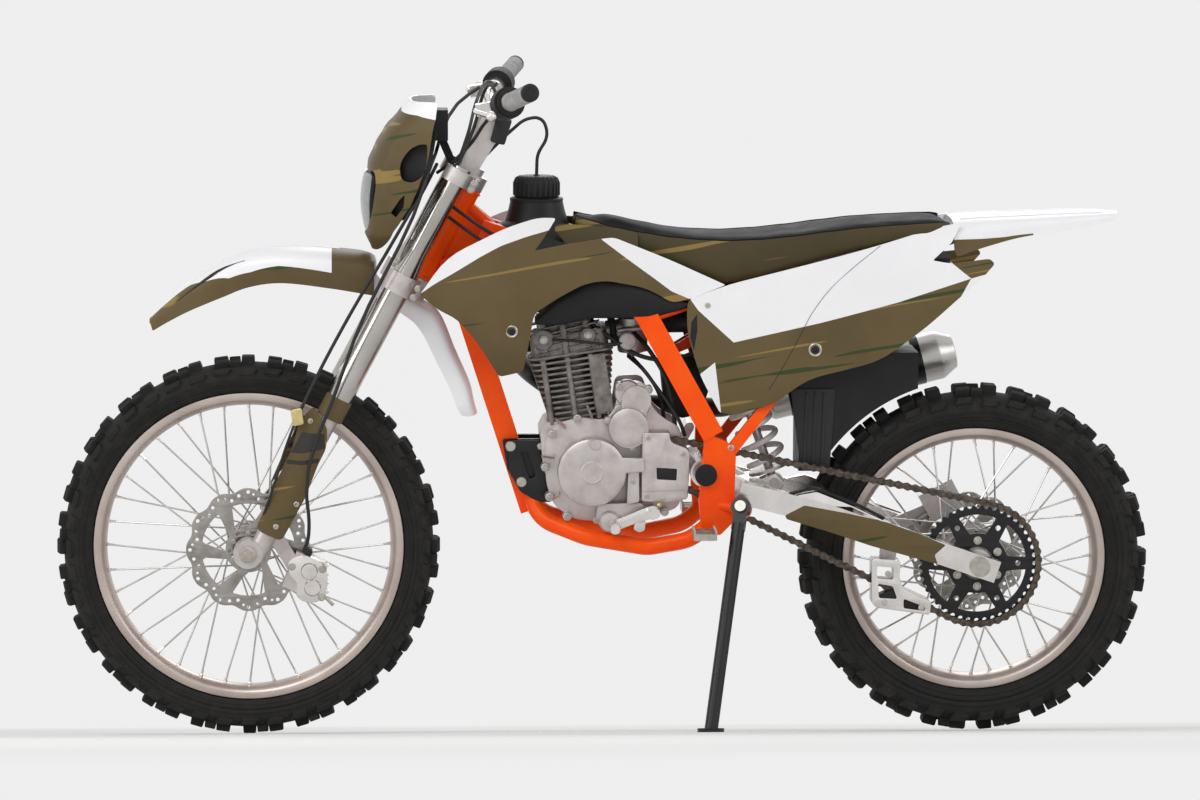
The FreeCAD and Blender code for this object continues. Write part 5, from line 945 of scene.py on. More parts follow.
for angle in turns(tank["ribs"]):
    out = Vector((cos(angle), sin(angle), 0))
    capRibs.append(sweep([capBase + out * (radius - 2.6) + Vector((0, 0, 3)),
                          capBase + out * (radius - 2.7) + Vector((0, 0, 25)),
                          capBase + out * (radius - 6) + Vector((0, 0, 33)),
                          capBase + out * (radius - 12) + Vector((0, 0, 36.8))], softLoop(4.2, 5.2, 1.6, 2),
                         side=out.cross(upward), grow=(1, 1, 0.9, 0.5)))
nozzle = turned([(-4, 7), (0, 7), (1.5, 5)], capBase + Vector((0, 0, 38)), upward, 16)
collar = turned([(-1, radius + 4), (0, radius + 5), (4, radius + 5), (6, radius + 2)],
                capBase - Vector((0, 0, 7)), upward, 64)
makePiece("fuel_cap_ribbed", joined(cap, collar, nozzle, *capRibs), "blackPlastic", slot="tank_black",
          replaces="fuel_cap", sharp=40)
print("tank made")


# Place on a half section, a share of the way from its middle to its edge; beyond is the point past the edge
def onSection(shape, beyond, share):
    t = min(1.0, share) * (len(shape) - 1)
    k = min(len(shape) - 2, int(t))
    run = [(-shape[1][0], shape[1][1]), *shape, beyond][k:k + 4]
    return [between(*four, t - k) for four in zip(*run)]


# Arch-shaped mudguards: stations are place, the way off the surface, half width, drop and crown
def archSurface(stations):
    rows = smoothLine([(*place, *off, half, drop, crown) for place, off, half, drop, crown in stations])
    lengths = [0.0]
    for a, b in zip(rows, rows[1:]):
        lengths.append(lengths[-1] + hypot(b[0] - a[0], b[1] - a[1]))

    def place(u, v):
        u = max(0.0, min(lengths[-1] - 1e-6, u))
        i = next(k for k in range(len(lengths) - 1) if lengths[k + 1] > u)
        share = (u - lengths[i]) / max(1e-9, lengths[i + 1] - lengths[i])
        x, z, offX, offZ, half, drop, crown = rows[i].lerp(rows[i + 1], share)
        shape = [(half * wide, crown * up - drop * down) for wide, up, down in (
            (0, 1, 0), (0.22, 0.93, 0), (0.41, 0.7, 0), (0.64, 0.1, 0.02), (0.82, 0, 0.1), (0.94, 0, 0.21),
            (1, 0, 0.38), (1, 0, 0.7), (1.01, 0, 1))]
        side, height = onSection(shape, shape[-1], abs(v) / 100)
        return Vector((x + offX * height, side * (1 if v >= 0 else -1), z + offZ * height))
    return place, lengths[-1]


# Numbers on a surface for places drawn from the bike's left side
def drawnOn(surface, length, spots):
    grid = []
    for i in range(161):
        for j in range(61):
            u, v = length * i / 160, -100 * j / 60
            p = surface(u, v)
            grid.append((p.x, p.z, u, v))
    return [min(grid, key=lambda g: (g[0] - x) ** 2 + (g[1] - z) ** 2)[2:] for x, z in spots]


# Outline from its left half
def fullLoop(half):
    return [*half, *[(u, -v) for u, v in reversed(half)]]


# Thin strip laid on a surface, as seen from above
def strip(line, *section, grow=None):
    return sweep(line, softLoop(*section), side=rightward, grow=grow)


frontFender = {
    "shares": ((0.00, 0.30, 0.20, 0.32), (0.05, 0.44, 0.30, 0.47), (0.12, 0.62, 0.42, 0.66),
               (0.22, 0.84, 0.56, 0.86), (0.30, 0.96, 0.66, 0.965), (0.40, 1.00, 0.70, 1.00),
               (0.55, 1.00, 0.645, 0.975), (0.67, 0.94, 0.58, 0.91)),
    "flap": ((0.0, 0.35, 0.94, 1.0), (0.0, 0.0, 0.92, 1.2), (0.02, -0.33, 0.92, 1.6),
             (0.34, -0.67, 0.95, 1.4), (0.6, -0.94, 0.93, 1.3), (0.78, -1.07, 0.88, 1.15),
             (0.88, -1.15, 0.7, 0.95)),
    "border": ((-757, 826), (-735, 833), (-692, 842), (-650, 852), (-604, 863), (-555, 859), (-508, 852)),
    "crownEnd": (-504, 886), "flapStart": (-432, 868),
    "crease": ((-781, 797), (-738, 832), (-704, 855), (-664, 872)),
}
stations = [((-834 + 600 * s, 700 + 190 * high), (0, 1), 72 * w, 190 * (high - low), 3.8 * w)
            for s, w, low, high in frontFender["shares"]]
places = [forkPoint(-234.4 - 150 * down, 182 * fore) for down, fore, w, deep in frontFender["flap"]]
for (down, fore, w, deep), before, at, after in zip(frontFender["flap"], places[:1] + places, places,
                                                    places[1:] + places[-1:]):
    run = (after - before).normalized()
    stations.append(((at.x + run.z * 2, at.z - run.x * 2), (-run.z, run.x), 56 * w, 26 * deep, 2.0))
surface, length = archSurface(stations)
border, crease = [drawnOn(surface, length, frontFender[name]) for name in ("border", "crease")]
(crownEnd, _), (flapStart, _) = drawnOn(surface, length, (frontFender["crownEnd"], frontFender["flapStart"]))
flapStart += 4
tip = rounded(fullLoop(((0, -60), (8, -100), (length - 6, -100), (length, -80))), 6)
form = skin(tip, surface, 3.2, [(fullLoop([(4, -20), *border, (crownEnd, -30)]), 1),
                                (fullLoop(((flapStart, -120), (length + 9, -120))), 1)], pitch=10)
makePiece("front_fender_moulded", form, "camo", "white", body="steering", replaces="front_fender", soft=0.8,
          sharp=60)
# Dark tapered strips along the fender's creases: painted shade where the moulding folds
creaseForm = strip(smoothLine([surface(*p) + Vector((0, -0.2, 0.2)) for p in crease], 6), 7, 2.4, 0.6, 2,
                   grow=[0.2 + 0.8 * sin(pi * k / 18) for k in range(19)])
makePiece("front_fender_creases", bothSides(creaseForm), "dark", body="steering")
rib = strip([surface(u, 0) + upward * 0.4 for u in range(70, int(flapStart) - 60, 12)], 2.2, 9, 1, 2)
makePiece("front_fender_rib", rib, "white", body="steering")
clampBolts = [bolt(forkPoint(-238, 14 + 22 * a, b * 26), -forkUp, 6, 4.8) for a in (-0.5, 1) for b in (-1, 1)]
makePiece("front_fender_bolts", clampBolts, "zinc", body="steering")

# Tail: a shelf over the tyre and the mudguard proper
rearFender = {
    "shelf": ((0.00, 0.97, 0.00, 0.22), (0.245, 1.0, 0.19, 0.3)),
    "tail": ((0.262, 0.99, 0.27, 0.90), (0.34, 0.965, 0.39, 0.925), (0.45, 0.92, 0.52, 0.945),
             (0.57, 0.84, 0.63, 0.96), (0.75, 0.70, 0.72, 0.985), (0.91, 0.55, 0.81, 1.0),
             (1.00, 0.36, 0.90, 0.99)),
    "patch": ((612, 913), (660, 914), (700, 917), (752, 922)),
}
(under, reach), (surface, length) = [
    archSurface([((500 + 412 * s, 850 + 106 * high), (0, 1), 96 * w, 106 * (high - low), 1.5)
                 for s, w, low, high in rearFender[name]]) for name in ("shelf", "tail")]
edge = drawnOn(surface, length, rearFender["patch"])
patch = [(0, -120), (0, edge[0][1]), *edge, (edge[-1][0], -120)]
form = skin(rounded(fullLoop(((0, -100), (length, -100))), 16), surface, 3.2,
            [(patch, 1), ([(u, -v) for u, v in patch], 1)], pitch=10)
shelf = skin(fullLoop(((0, -100), (reach, -100))), under, 3.2, pitch=12)
ridges = [strip([surface(u, v) + upward * 0.5 for u in range(14, int(length) - 24, 10)], 2, 5, 0.9, 2)
          for v in (-34, 34)]
makePiece("rear_fender_moulded", joined(form, painted(shelf, 2)), "white", "camo", "blackPlastic",
          replaces="rear_fender", soft=0.8, sharp=60)
makePiece("rear_fender_ridges", ridges, "white")
print("mudguards made")

# Headlight mask: rings are height, front, back and half width, as the CAD shell's
mask = {
    "rings": ((893, -432.2, -416.8, 63.4), (922, -445, -398.9, 97.6), (951, -444, -381, 108),
              (980.5, -442.4, -363.1, 117.1), (1013, -440.5, -350, 120.5), (1046.7, -438.6, -337.5, 122),
              (1076, -426, -331.6, 120.5), (1105, -409.2, -327.2, 117.1), (1131, -386, -321, 109),
              (1158, -363.1, -317, 97.6)),
    "cap": ((-384, 1141), (-379, 1138), (-353, 1134), (-322, 1127)),
    "hole": ((-336, 1085), (-350, 1085), (-366, 1077), (-378, 1063), (-386, 1041), (-381, 1021), (-363, 1016),
             (-342, 1027), (-336, 1050)),
    "slot": ((-376, 996), (-388, 983), (-401, 963), (-392, 954), (-379, 972)),
    "detail": ((-429, 934), (-408, 934), (-408, 918), (-429, 918)),
}


def maskSurface(v, z):
    front, back, half = along(mask["rings"], z)
    shape = [(half * wide, front + (back - front) * deep) for wide, deep in (
        (0, 0), (0.26, 0.01), (0.5, 0.045), (0.7, 0.14), (0.86, 0.31), (0.95, 0.6), (1, 1))]
    y, x = onSection(shape, [2 * c - b for b, c in zip(*shape[-2:])], abs(v) / 150)
    return Vector((x, y * (1 if v >= 0 else -1), z))


# Numbers on the mask for places drawn from the bike's left side
def onMask(spots):
    return [(min((-150 * k / 200 for k in range(201)), key=lambda v: abs(maskSurface(v, z).x - x)), z)
            for x, z in spots]


def otherCheek(loop):
    return [(-u, z) for u, z in reversed(loop)]


capLine = onMask(mask["cap"])
capZone = [(0, capLine[0][1] + 2), *capLine, (-170, 1120), (-170, 1180), (0, 1180)]
holes = [rounded(onMask(mask["hole"]), 10), rounded(onMask(mask["slot"]), 3)]
lamp = ((82, 1012), (80.36, 950), (59.04, 919))
lampLoop = rounded([(-73.8, 1034), *[(-u, z) for u, z in lamp], *reversed(lamp), (73.8, 1034)], 14)
form = skin(rounded(((-150, 1158), (-150, 900), (-120, 893), (120, 893), (150, 900), (150, 1158)), 10),
            maskSurface, 3.2, [(capZone, 1), (otherCheek(capZone), 1)],
            [holes[0], otherCheek(holes[0]), holes[1], otherCheek(holes[1]), lampLoop])
makePiece("headlight_mask_moulded", form, "camo", "white", body="steering", replaces="headlight_mask",
          soft=0.8, sharp=60)
inset = skin(rounded(onMask(mask["detail"]), 3), lambda v, z: maskSurface(v, z) + Vector((-0.4, -0.5, 0)),
             1.0, pitch=5)
makePiece("headlight_mask_insets", bothSides(inset), "dark", body="steering")


# Dark liners behind the openings, and the lamp with its reflector, bulb and lens
def linerSurface(v, z):
    p = maskSurface(v, z)
    return Vector((p.x + 14, p.y * 0.86, z))


linerLoop = rounded(((-146, 1110), (-146, 950), (-100, 934), (-96, 1080), (-110, 1118)), 10)
liner = skin(linerLoop, linerSurface, 2.0, pitch=12)


def glassSurface(y, z):
    return Vector((-455 + 16 * (y / 66) ** 2 + 9 * ((z - 978) / 56) ** 2, y, z))


glassLoop = rounded(((-62, 1028), (-66, 1008), (-64, 950), (-46, 925), (46, 925), (64, 950), (66, 1008),
                     (62, 1028)), 14)
glass = skin(glassLoop, glassSurface, -2.5, pitch=8)
bowl = []
for deep in [k / 8 for k in range(9)]:
    narrow = 1 - 0.62 * deep ** 1.6
    bowl.append([Vector((-428 + 34 * deep, p.x * narrow, 977 + (p.y - 977) * narrow))
                 for p in rounded(glassLoop[::5], 12)])
bulb = turned([(0, 9), (6, 9), (8, 6), (16, 6), (19, 3)], (-398, 0, 977), (-1, 0, 0), 20)
bezel = sweep([glassSurface(p.x, p.y) + Vector((5, 0, 0)) for p in glassLoop], softLoop(5, 9, 2, 2),
              side=(1, 0, 0), closed=True)
makePiece("headlight_glass", glass, "lens", body="steering", replaces="headlight_lens", sharp=60)
makePiece("headlight_reflector", loft(bowl, capped=False), "reflector", body="steering", sharp=60)
makePiece("headlight_bulb", bulb, "spring", body="steering", slot="lens_clear")
makePiece("headlight_bezel", bezel, "blackPlastic", body="steering")
makePiece("headlight_liners", bothSides(liner), "blackPlastic", body="steering")
print("mask and lamp made")

# Chain: its pitch line runs round both sprockets
drive = {"pitch": 15.875, "front": Vector((105.0, -80.0, 515.0)), "frontRadius": 35.67,
         "rear": Vector((659.2, -80.0, 323.5)), "rearRadius": 111.26}


def chainLine():
    run = drive["rear"] - drive["front"]
    tilt = atan2(run.z, run.x)
    spread = pi / 2 + atan2(drive["rearRadius"] - drive["frontRadius"], run.length)
    line = []
    for end, start, stop in (("front", tilt + spread, tilt + 2 * pi - spread),
                             ("rear", tilt - spread, tilt + spread)):
        line += [roundAxle(drive[end], start + (stop - start) * k / 60, drive[end + "Radius"])
                 for k in range(61)]
    return line


def evenPlaces(line, pitch):
    total = sum((b - a).length for a, b in zip(line, line[1:] + line[:1]))
    count = 2 * round(total / pitch / 2)
    step = total / count
    places, left = [], 0.0
    for a, b in zip(line, line[1:] + line[:1]):
        length = (b - a).length
        while left < length and len(places) < count:
            places.append(a.lerp(b, left / length))
            left += step
        left -= length
    return places


def chainForm():
    places = evenPlaces(chainLine(), drive["pitch"])
    plates, rollers = [], []
    for k, (start, end) in enumerate(zip(places, places[1:] + places[:1])):
        run = (end - start).normalized()
        up = run.cross(rightward)
        reach = 6.9 if k % 2 else 4.9
        ring = []
        for centre, first in ((end, -1), (start, 1)):
            for j in range(7):
                angle = first * pi / 2 + pi * j / 6
                ring.append(centre + run * cos(angle) * 6.6 + up * sin(angle) * 6.6)
            ring.append((start + end) / 2 + up * (-3.9 * first))
        plates += [loft([[p + rightward * (side * (reach + edge)) for p in ring] for edge in (-0.9, 0.9)])
                   for side in (-1, 1)]
        plates.append(pin(start - rightward * 8.3, start + rightward * 8.3, 2.3, 0.6, 8))
        rollers.append(pin(start - rightward * 4.0, start + rightward * 4.0, 4.9, 0.5, 12))
    return plates + rollers


makePiece("chain_links", chainForm(), "chain", replaces="chain", sharp=30)


# Rear sprocket: round gaps between its teeth, six spokes and six bolts
def rearSprocketForm():
    centre = stance["rearAxle"]
    outline = [circle(centre, radius, [2 * pi * (k + share) / 44])[0] for k in range(44)
               for share, radius in ((-0.30, 104.6), (-0.20, 101.6), (0.0, 100.2), (0.20, 101.6),
                                     (0.30, 104.6), (0.42, 105.9), (0.58, 105.9))]
    loops = [outline, circle(centre, 30.2, turns(48))]
    for k in range(6):
        a, b, c, d = [2 * pi * (k + share) / 6 for share in (0.12, 0.88, 0.76, 0.24)]
        loops.append(rounded(arcWindow(centre, (89, a, b, 13), (55, c, d, 7)), 4, 3))
        loops.append(circle(circle(centre, 74, [2 * pi * k / 6])[0], 5.0, turns(16)))
    return plate(loops, -82.6, -77.4, 0.6)


makePiece("rear_sprocket_toothed", rearSprocketForm(), "blackMetal", body="rear_wheel",
          replaces="rear_sprocket", sharp=30)
makePiece("rear_sprocket_bolts", [bolt(roundAxle(stance["rearAxle"], angle, 42, -82.6), leftward, 6.0, 5.0)
                                  for angle in turns(6, 0.5)], "zinc", body="rear_wheel")


# Swingarm: its raised web, the decal, and the chain's slipper on top
decalLoop = ((306, 418), (341, 436), (420, 421), (490, 405), (545, 385), (597, 363), (577, 345), (583, 328),
             (462, 362), (379, 390), (309, 411))
webLoop = ((292, 440), (330, 455), (363, 461), (430, 434), (500, 401), (500, 392), (371, 418), (292, 436))
makePiece("swingarm_web", bothSides(slab(webLoop, 5, -119.4, -95, 3)), "bright", slot="cast_silver", sharp=40)
makePiece("swingarm_decal", bothSides(slab(decalLoop, 3, -120.6, -119.2, 0.4)), "camo")
slipper = sweep(smoothLine([(300, -107, 449), (330, -107, 459), (363, -107, 464), (430, -107, 438),
                            (486, -107, 411)], 6), softLoop(5, 17, 1.6), side=rightward)
makePiece("chain_slipper", slipper, "blackPlastic")

# Chain adjusters at the arm's end: block, screw, lock nut and the axle's nut
adjusters = []
run = (stance["rearAxle"] - Vector((163.0, 0, 492.0))).normalized()
for side in (-1, 1):
    axle = stance["rearAxle"] + rightward * (side * 121.0)
    screw = axle - rightward * (side * 13)
    adjusters += [pin(axle, axle + rightward * (side * 3.0), 16, 1, 28),
                  bolt(axle + rightward * (side * 3.0), rightward * side, 12.0, 7.0),
                  pin(screw + run * 22, screw + run * 33, 4.0, 0.6, 12),
                  turned([(0, 7.0), (5, 7.0)], screw + run * 26, run, 6)]
makePiece("chain_adjusters", adjusters, "zinc")

# Chain guide: plates with three windows and a black wear block
guideLoops = [rounded(((465, 336), (518, 332), (516, 303), (522, 281), (574, 257), (572, 232), (475, 246),
                       (466, 254)), 6)]
guideLoops += [rounded(loop, 4) for loop in (
    ((475, 322), (506, 319), (504, 297), (475, 300)), ((477, 290), (504, 285), (512, 262), (479, 264)),
    ((524, 262), (563, 247), (562, 240), (524, 245)))]
makePiece("chain_guide_plates", [plate(guideLoops, low, low + 4.0, 0.8) for low in (-102.6, -68.4)], "bright",
          slot="cast_silver", replaces="chain_guide")
blockLoop = ((470, 264), (474, 249), (570, 235), (571, 254), (524, 276), (500, 277))
makePiece("chain_guide_block", slab(blockLoop, 5, -98.4, -68.6, 1.0), "blackPlastic")
guideMount = [slab(((482, 322), (510, 321), (514, 352), (484, 362)), 4, -76.0, -64.0, 0.8)]
guideMount += [bolt((x, -102.6, z), leftward, 4.5, 3.4) for x, z in ((495, 308), (489, 256), (556, 246))]
makePiece("chain_guide_mount", guideMount, "cast")
print("rear drive made")


# Frame's dressing: welds, caps and bolts over the CAD's tubes
def weld(centre, axis, radius):
    side = axis.orthogonal().normalized()
    other = axis.cross(side)
    line = [centre + (side * cos(a) + other * sin(a)) * radius for a in turns(int(radius * 1.4) * 3)]
    return sweep(line, roundLoop(2, 6), closed=True,
                 grow=[0.8 + 0.3 * (k % 3 == 1) for k in range(len(line))])


makePiece("frame_welds", [weld(forkPoint(up, 0), forkUp, 27.5) for up in (-194, -18)], "orange", sharp=60)
domed = [(0, 10), (3, 10), (5, 8.5), (5.6, 5), (5.2, 0.1)]
caps, frameBolts, struts, pegs = [], [], [], []
for side in (-1, 1):
    out = rightward * side
    caps.append(turned([(0, 20), (3, 20), (5, 18), (5.6, 0.1)], (163, side * 124, 492), out, 32))
    frameBolts += [turned(domed, (x, side * 42, z), out, 24) for x, z in ((-185, 534), (-165, 469))]
    frameBolts += [bolt((x, side * 42, z), out, 7.0, 6.0) for x, z in ((-131, 534), (-105, 442))]
    # Struts from the head to the spars, as seen past the fork
    struts.append(tube([forkPoint(-44, -24, side * 10), forkPoint(-60, -90, side * 30),
                        forkPoint(-98, -150, side * 38)], 9, 18, 12))
    # Foot pegs: toothed steel frames on their brackets
    base, reach = Vector((158, side * 132, 392)), side * 62
    for x in (-19, 19):
        ring = [base + Vector((x, reach * k / 12, 10.5 if k % 2 else 6)) for k in range(13)]
        ring += [base + Vector((x, reach, -8)), base + Vector((x, 0, -8))]
        pegs.append(loft([[p + Vector((thick, 0, 0)) for p in ring] for thick in (-1.8, 1.8)]))
    for k in (0, 4, 8, 12):
        pegs.append(loft([[base + Vector((x, reach * k / 12 + edge, z)) for x, z in (
            (-18, -8), (18, -8), (18, 4), (-18, 4))] for edge in (-1.6, 1.6)]))
    pegs.append(pin(base + Vector((0, -side * 13, -6)), base + Vector((0, side * 2, -6)), 8, 1))
frameBolts += [capScrew(place, leftward, 6.0, 4.0) for place in ((208, -115, 540), (304, -104.5, 652))]
makePiece("pivot_caps", caps, "blackPlastic", sharp=30)
makePiece("frame_bolts", frameBolts, "zinc", sharp=30)
makePiece("frame_head_struts", struts, "orange", sharp=60)
makePiece("foot_pegs_toothed", pegs, "zinc", replaces="foot_pegs")

# Mud flap: dark ribbed rubber in front of the inner guard
flap = [slab(((319, 640), (400, 640), (391, 491), (339, 491)), 6, -63.2, -60.4, 0.8)]
flap += [slab(((x, 634), (x + 5, 634), (x + 1, 496), (x - 4, 496)), 2, -65.2, -62.4, 0.6)
         for x in (346, 362, 378)]
makePiece("mud_flap", flap, "rubber", slot="black_plastic")
print("frame dressed")

# Engine covers on the rider's left: profile, centre and segments
covers = [turned(profile, place, leftward, segments) for profile, place, segments in (
    ([(0, 61.5), (11, 61.5), (13.6, 60.4), (15.4, 57.4), (16.2, 52), (16.4, 20.5), (17.2, 19.6), (17.4, 18),
      (16.6, 17), (16.5, 0.1)], (-41, -99, 495), 72),
    ([(0, 10.5), (16.6, 10.5), (18.4, 9.4), (18.6, 0.1)], (-35, -99, 547), 28),
    ([(0, 36), (18, 36), (20.4, 35), (21.8, 32.4), (22.2, 24), (21.8, 12), (21.8, 0.1)], (25, -79, 574), 60),
    ([(0, 26.5), (18, 26.5), (20.5, 25), (21.6, 21), (21.8, 0.1)], (38, -62, 614), 48),
    ([(0, 23), (20, 23), (23, 21.4), (23.6, 0.1)], (24, -50, 634), 40))]
for angle in turns(3, 0.35):
    ear = roundAxle(Vector((24, -62, 574)), angle, 38)
    covers.append(pin(ear, ear + leftward * 24, 6.4, 1.2))
makePiece("engine_round_covers", covers, "cast", sharp=30)

# Case halves: bossed flanges, ribs and the lug of the gear shaft
flange = ((-122, 470), (-124, 548), (-104, 578), (-60, 590), (-18, 584), (2, 604), (8, 650), (58, 652),
          (70, 606), (92, 586), (120, 572), (128, 470), (118, 424), (60, 405), (-10, 398), (-72, 404),
          (-108, 430))
caseForms = [slab(outline, corner, low, high, soft) for outline, corner, low, high, soft in (
    (flange, 14, -66, -54, 1.6), (flange, 14, 54, 66, 1.6),
    (((-2, 523), (52, 521), (54, 496), (4, 493)), 4, -114, -92, 2.2),
    (((24, 500), (44, 500), (45, 440), (22, 436)), 4, -104, -90, 2.0),
    (((-30, 436), (52, 438), (60, 412), (40, 398), (-4, 396), (-34, 408)), 8, -92, -60, 3.0))]
caseForms.append(turned([(0, 20), (16, 19), (20, 16), (21, 0.1)], (-8, -84, 404), leftward, 32))
caseScrews = []
for x, z in ((-112, 560), (-124, 500), (-116, 446), (-84, 410), (-30, 404), (28, 405), (92, 418), (122, 452),
             (8, 606), (62, 640), (-66, 588), (10, 646)):
    caseForms.append(pin((x, -78, z), (x, -50, z), 7.6, 1.4, 18))
    caseScrews.append(capScrew((x, -78, z), leftward, 5.2, 4.6))
for x, z, turn in ((-98, 452, 0.7), (-108, 520, 0.1), (-88, 574, -0.6), (-40, 590, -1.2)):
    run = Vector((cos(turn + pi), 0, -sin(turn)))
    caseForms.append(loft([[Vector((x, -100 + 46 * b, z)) + run * a + run.cross(rightward) * c
                            for a, b in ((0, 0), (22, 0.9), (0, 0.9))] for c in (-2.2, 2.2)]))
caseScrews.append(capScrew((34, -104, 478), leftward, 4.6, 3.0))
makePiece("crankcase_flanges", caseForms, "cast", sharp=30)
makePiece("crankcase_screws", caseScrews, "zinc", sharp=30)

# Sprocket cover: raised middle band with a window, four screws
coverLoop = rounded(((49, 567, 4), (99, 567, 4), (101, 549), (131, 538, 8), (136, 528, 6), (132, 445, 6),
                     (87, 439, 8), (48, 441, 6)), 8)
band = rounded(((49, 520), (134, 520), (132, 462), (49, 460)), 1.5, 2)
window = rounded(((75, 503), (112, 501), (111, 480), (76, 482)), 2, 2)
makePiece("sprocket_cover_cast", [plate([coverLoop], -104.5, -62, 4.5),
                                  plate([band, window], -106.8, -103.6, 0.8)],
          "cast", replaces="sprocket_cover", sharp=32)
makePiece("sprocket_cover_window", plate([window], -105.4, -104.2, 0.3), "blackPlastic", slot="cast_silver")
makePiece("sprocket_cover_screws", [capScrew((x, -104.5, z), leftward, 4.4, 3.0) for x, z in (
    (58, 452), (123, 528), (87, 446), (60, 558))], "zinc")

# Barrel and head in their own frame: up is along the barrel, aft is across it
barrelTilt = radians(8.4)
barrelUp = Vector((-sin(barrelTilt), 0, cos(barrelTilt)))
barrelAft = Vector((cos(barrelTilt), 0, sin(barrelTilt)))


def barrelPoint(up, aft, side):
    return Vector((-60, 0, 588)) + barrelUp * up + barrelAft * aft + rightward * side


columns = [pin(barrelPoint(-6, aft, side * 58), barrelPoint(112, aft, side * 58), 5.4, 1, 14)
           for aft in (-52, -8, 34) for side in (-1, 1)]
columns.append(loft([[barrelPoint(up, aft, side)
                      for aft, side in ((fore, -64), (back, -60), (back, -30), (fore, -30))]
                     for up, fore, back in ((2, 30, 62), (110, 34, 60))]))
makePiece("cylinder_columns", columns, "paintedShadeCast", soft=1.0, sharp=30)
headForms, headBolts = [], []
for up in range(118, 174, 11):
    for side in (-1, 1):
        headForms.append(loft([[barrelPoint(up + rise + aft * 0.1, aft, side * wide) for aft, wide in (
            (-66, 40), (-58, 62), (52, 62), (60, 40))] for rise in (-1.6, 1.6)]))
headForms += [turned([(0, 20), (16, 20), (19, 17), (20, 0.1)], barrelPoint(150, -46, -46), leftward, 36),
              turned([(0, 15), (18, 15), (20, 13), (20.5, 0.1)], barrelPoint(146, 34, -48), leftward, 30),
              loft([[barrelPoint(up, aft, side) for aft, side in ((-50, -48), (44, -48), (44, 48), (-50, 48))]
                    for up in (168, 186)])]
for aft, side in ((-44, -52), (-8, -54), (34, -52), (-44, 52), (34, 52)):
    headForms.append(pin(barrelPoint(112, aft, side), barrelPoint(178, aft, side), 8.2, 1.5, 18))
    headBolts.append(bolt(barrelPoint(178, aft, side), barrelUp, 6.2, 6))
headBolts += [bolt(barrelPoint(up, aft, -68), leftward, 6, 4.5) for aft, up in ((-46, 150), (34, 146))]
makePiece("cylinder_head_ribs", headForms, "paintedShadeCast", soft=1.0, sharp=30)
makePiece("cylinder_head_bolts", headBolts, "zinc", sharp=30)

# Decompressor rod and the pale idle knob
makePiece("decompressor_rod", tube([(-112, -74, 731), (-70, -78, 729), (-10, -78, 722), (20, -74, 726)],
                                   2.6, 20, 10), "rubber")
makePiece("idle_knob", [turned([(0, 13), (3, 15), (14, 15.5), (17, 13), (18, 0.1)], (24, -60, 728),
                               leftward, 32),
                        pin((24, -20, 728), (24, -62, 728), 6, 1)], "grip", slot="cast_silver", sharp=30)

# Carburettor's rubber, cap, float bowl and hoses
makePiece("carburettor_rubbers", [
    turned([(0, 27), (5, 28.5), (26, 28.5), (30, 26), (32, 12), (33, 0.1)], (34, 0, 762), upward, 36),
    turned([(0, 31), (4, 33), (9, 33), (12, 31)], (-6, 0, 742), barrelAft, 36),
    turned([(0, 29), (4, 31), (12, 31), (15, 29)], (72, 0, 752), barrelAft, 36)], "blackPlastic", sharp=30)
makePiece("carburettor_bowl", [
    turned([(0, 25), (20, 25), (26, 22), (28, 8), (34, 7), (35, 0.1)], (34, 0, 726), -upward, 32),
    pin((8, -30, 742), (60, -30, 748), 5, 1, 14)], "cast", sharp=30)
makePiece("carburettor_hoses", [tube(route, radius, 30, 10) for radius, route in (
    (4.2, [(34, -26, 742), (60, -50, 716), (96, -64, 660), (108, -66, 600), (112, -58, 560)]),
    (3.4, [(34, 8, 692), (62, -30, 664), (84, -40, 630), (92, -34, 590), (96, -20, 540), (110, -10, 500)]),
    (3.4, [(28, -12, 694), (52, -44, 676), (72, -60, 650), (98, -72, 616), (120, -78, 580), (128, -70, 556)]),
    (4.0, [(-60, -40, 770), (-20, -52, 742), (40, -58, 700), (90, -60, 690), (140, -52, 700),
           (180, -40, 730)]))],
          "rubber")
makePiece("starter_relay_and_loom", [
    slab(((84, 700), (150, 690), (176, 640), (160, 590), (120, 580), (92, 622)), 12, -30, 30, 6),
    tube([(120, -40, 690), (150, -62, 630), (168, -66, 590), (176, -60, 548)], 6, 30, 10)], "blackPlastic")

# Engine hangers: black plates with a slot, drawn outside the CAD's plates
hanger = rounded(((-189, 545), (-129, 545), (-113, 500), (-106, 440), (-112, 432), (-133, 432), (-168, 451),
                  (-186, 488)), 8)
slot = rounded(((-168, 524), (-154, 524), (-140, 480), (-150, 474)), 4)
makePiece("engine_hanger_faces", bothSides(plate([hanger, slot], -45.2, -41.8, 0.8)), "blackMetal")

# Gear lever: clamp hub with its slit and pinch bolt, arm and toe roller
makePiece("gear_lever_forged", [
    slab(((80, 432), (60, 434), (6, 412), (-8, 408), (-10, 394), (4, 390), (34, 402), (64, 411), (78, 412)),
         7, -116, -106, 2.6),
    turned([(0, 12.5), (14, 12.5), (15.5, 11), (15.5, 6.4), (10, 6.2)], (68, -103, 423), leftward, 22),
    slab(((36, 404), (56, 408), (54, 390), (44, 386), (34, 392)), 4, -112, -104, 1.5),
    turned([(0, 10.5), (40, 10.5), (42, 9), (42, 5), (36, 4.6)], (-1, -114, 400), leftward, 28)], "bright",
          sharp=30)
makePiece("gear_lever_bolts", [bolt((80, -110, 436), (0.4, 0, 1), 4, 4),
                               pin((68, -64, 423), (68, -117, 423), 6.0, 0.8)], "brass", sharp=30)

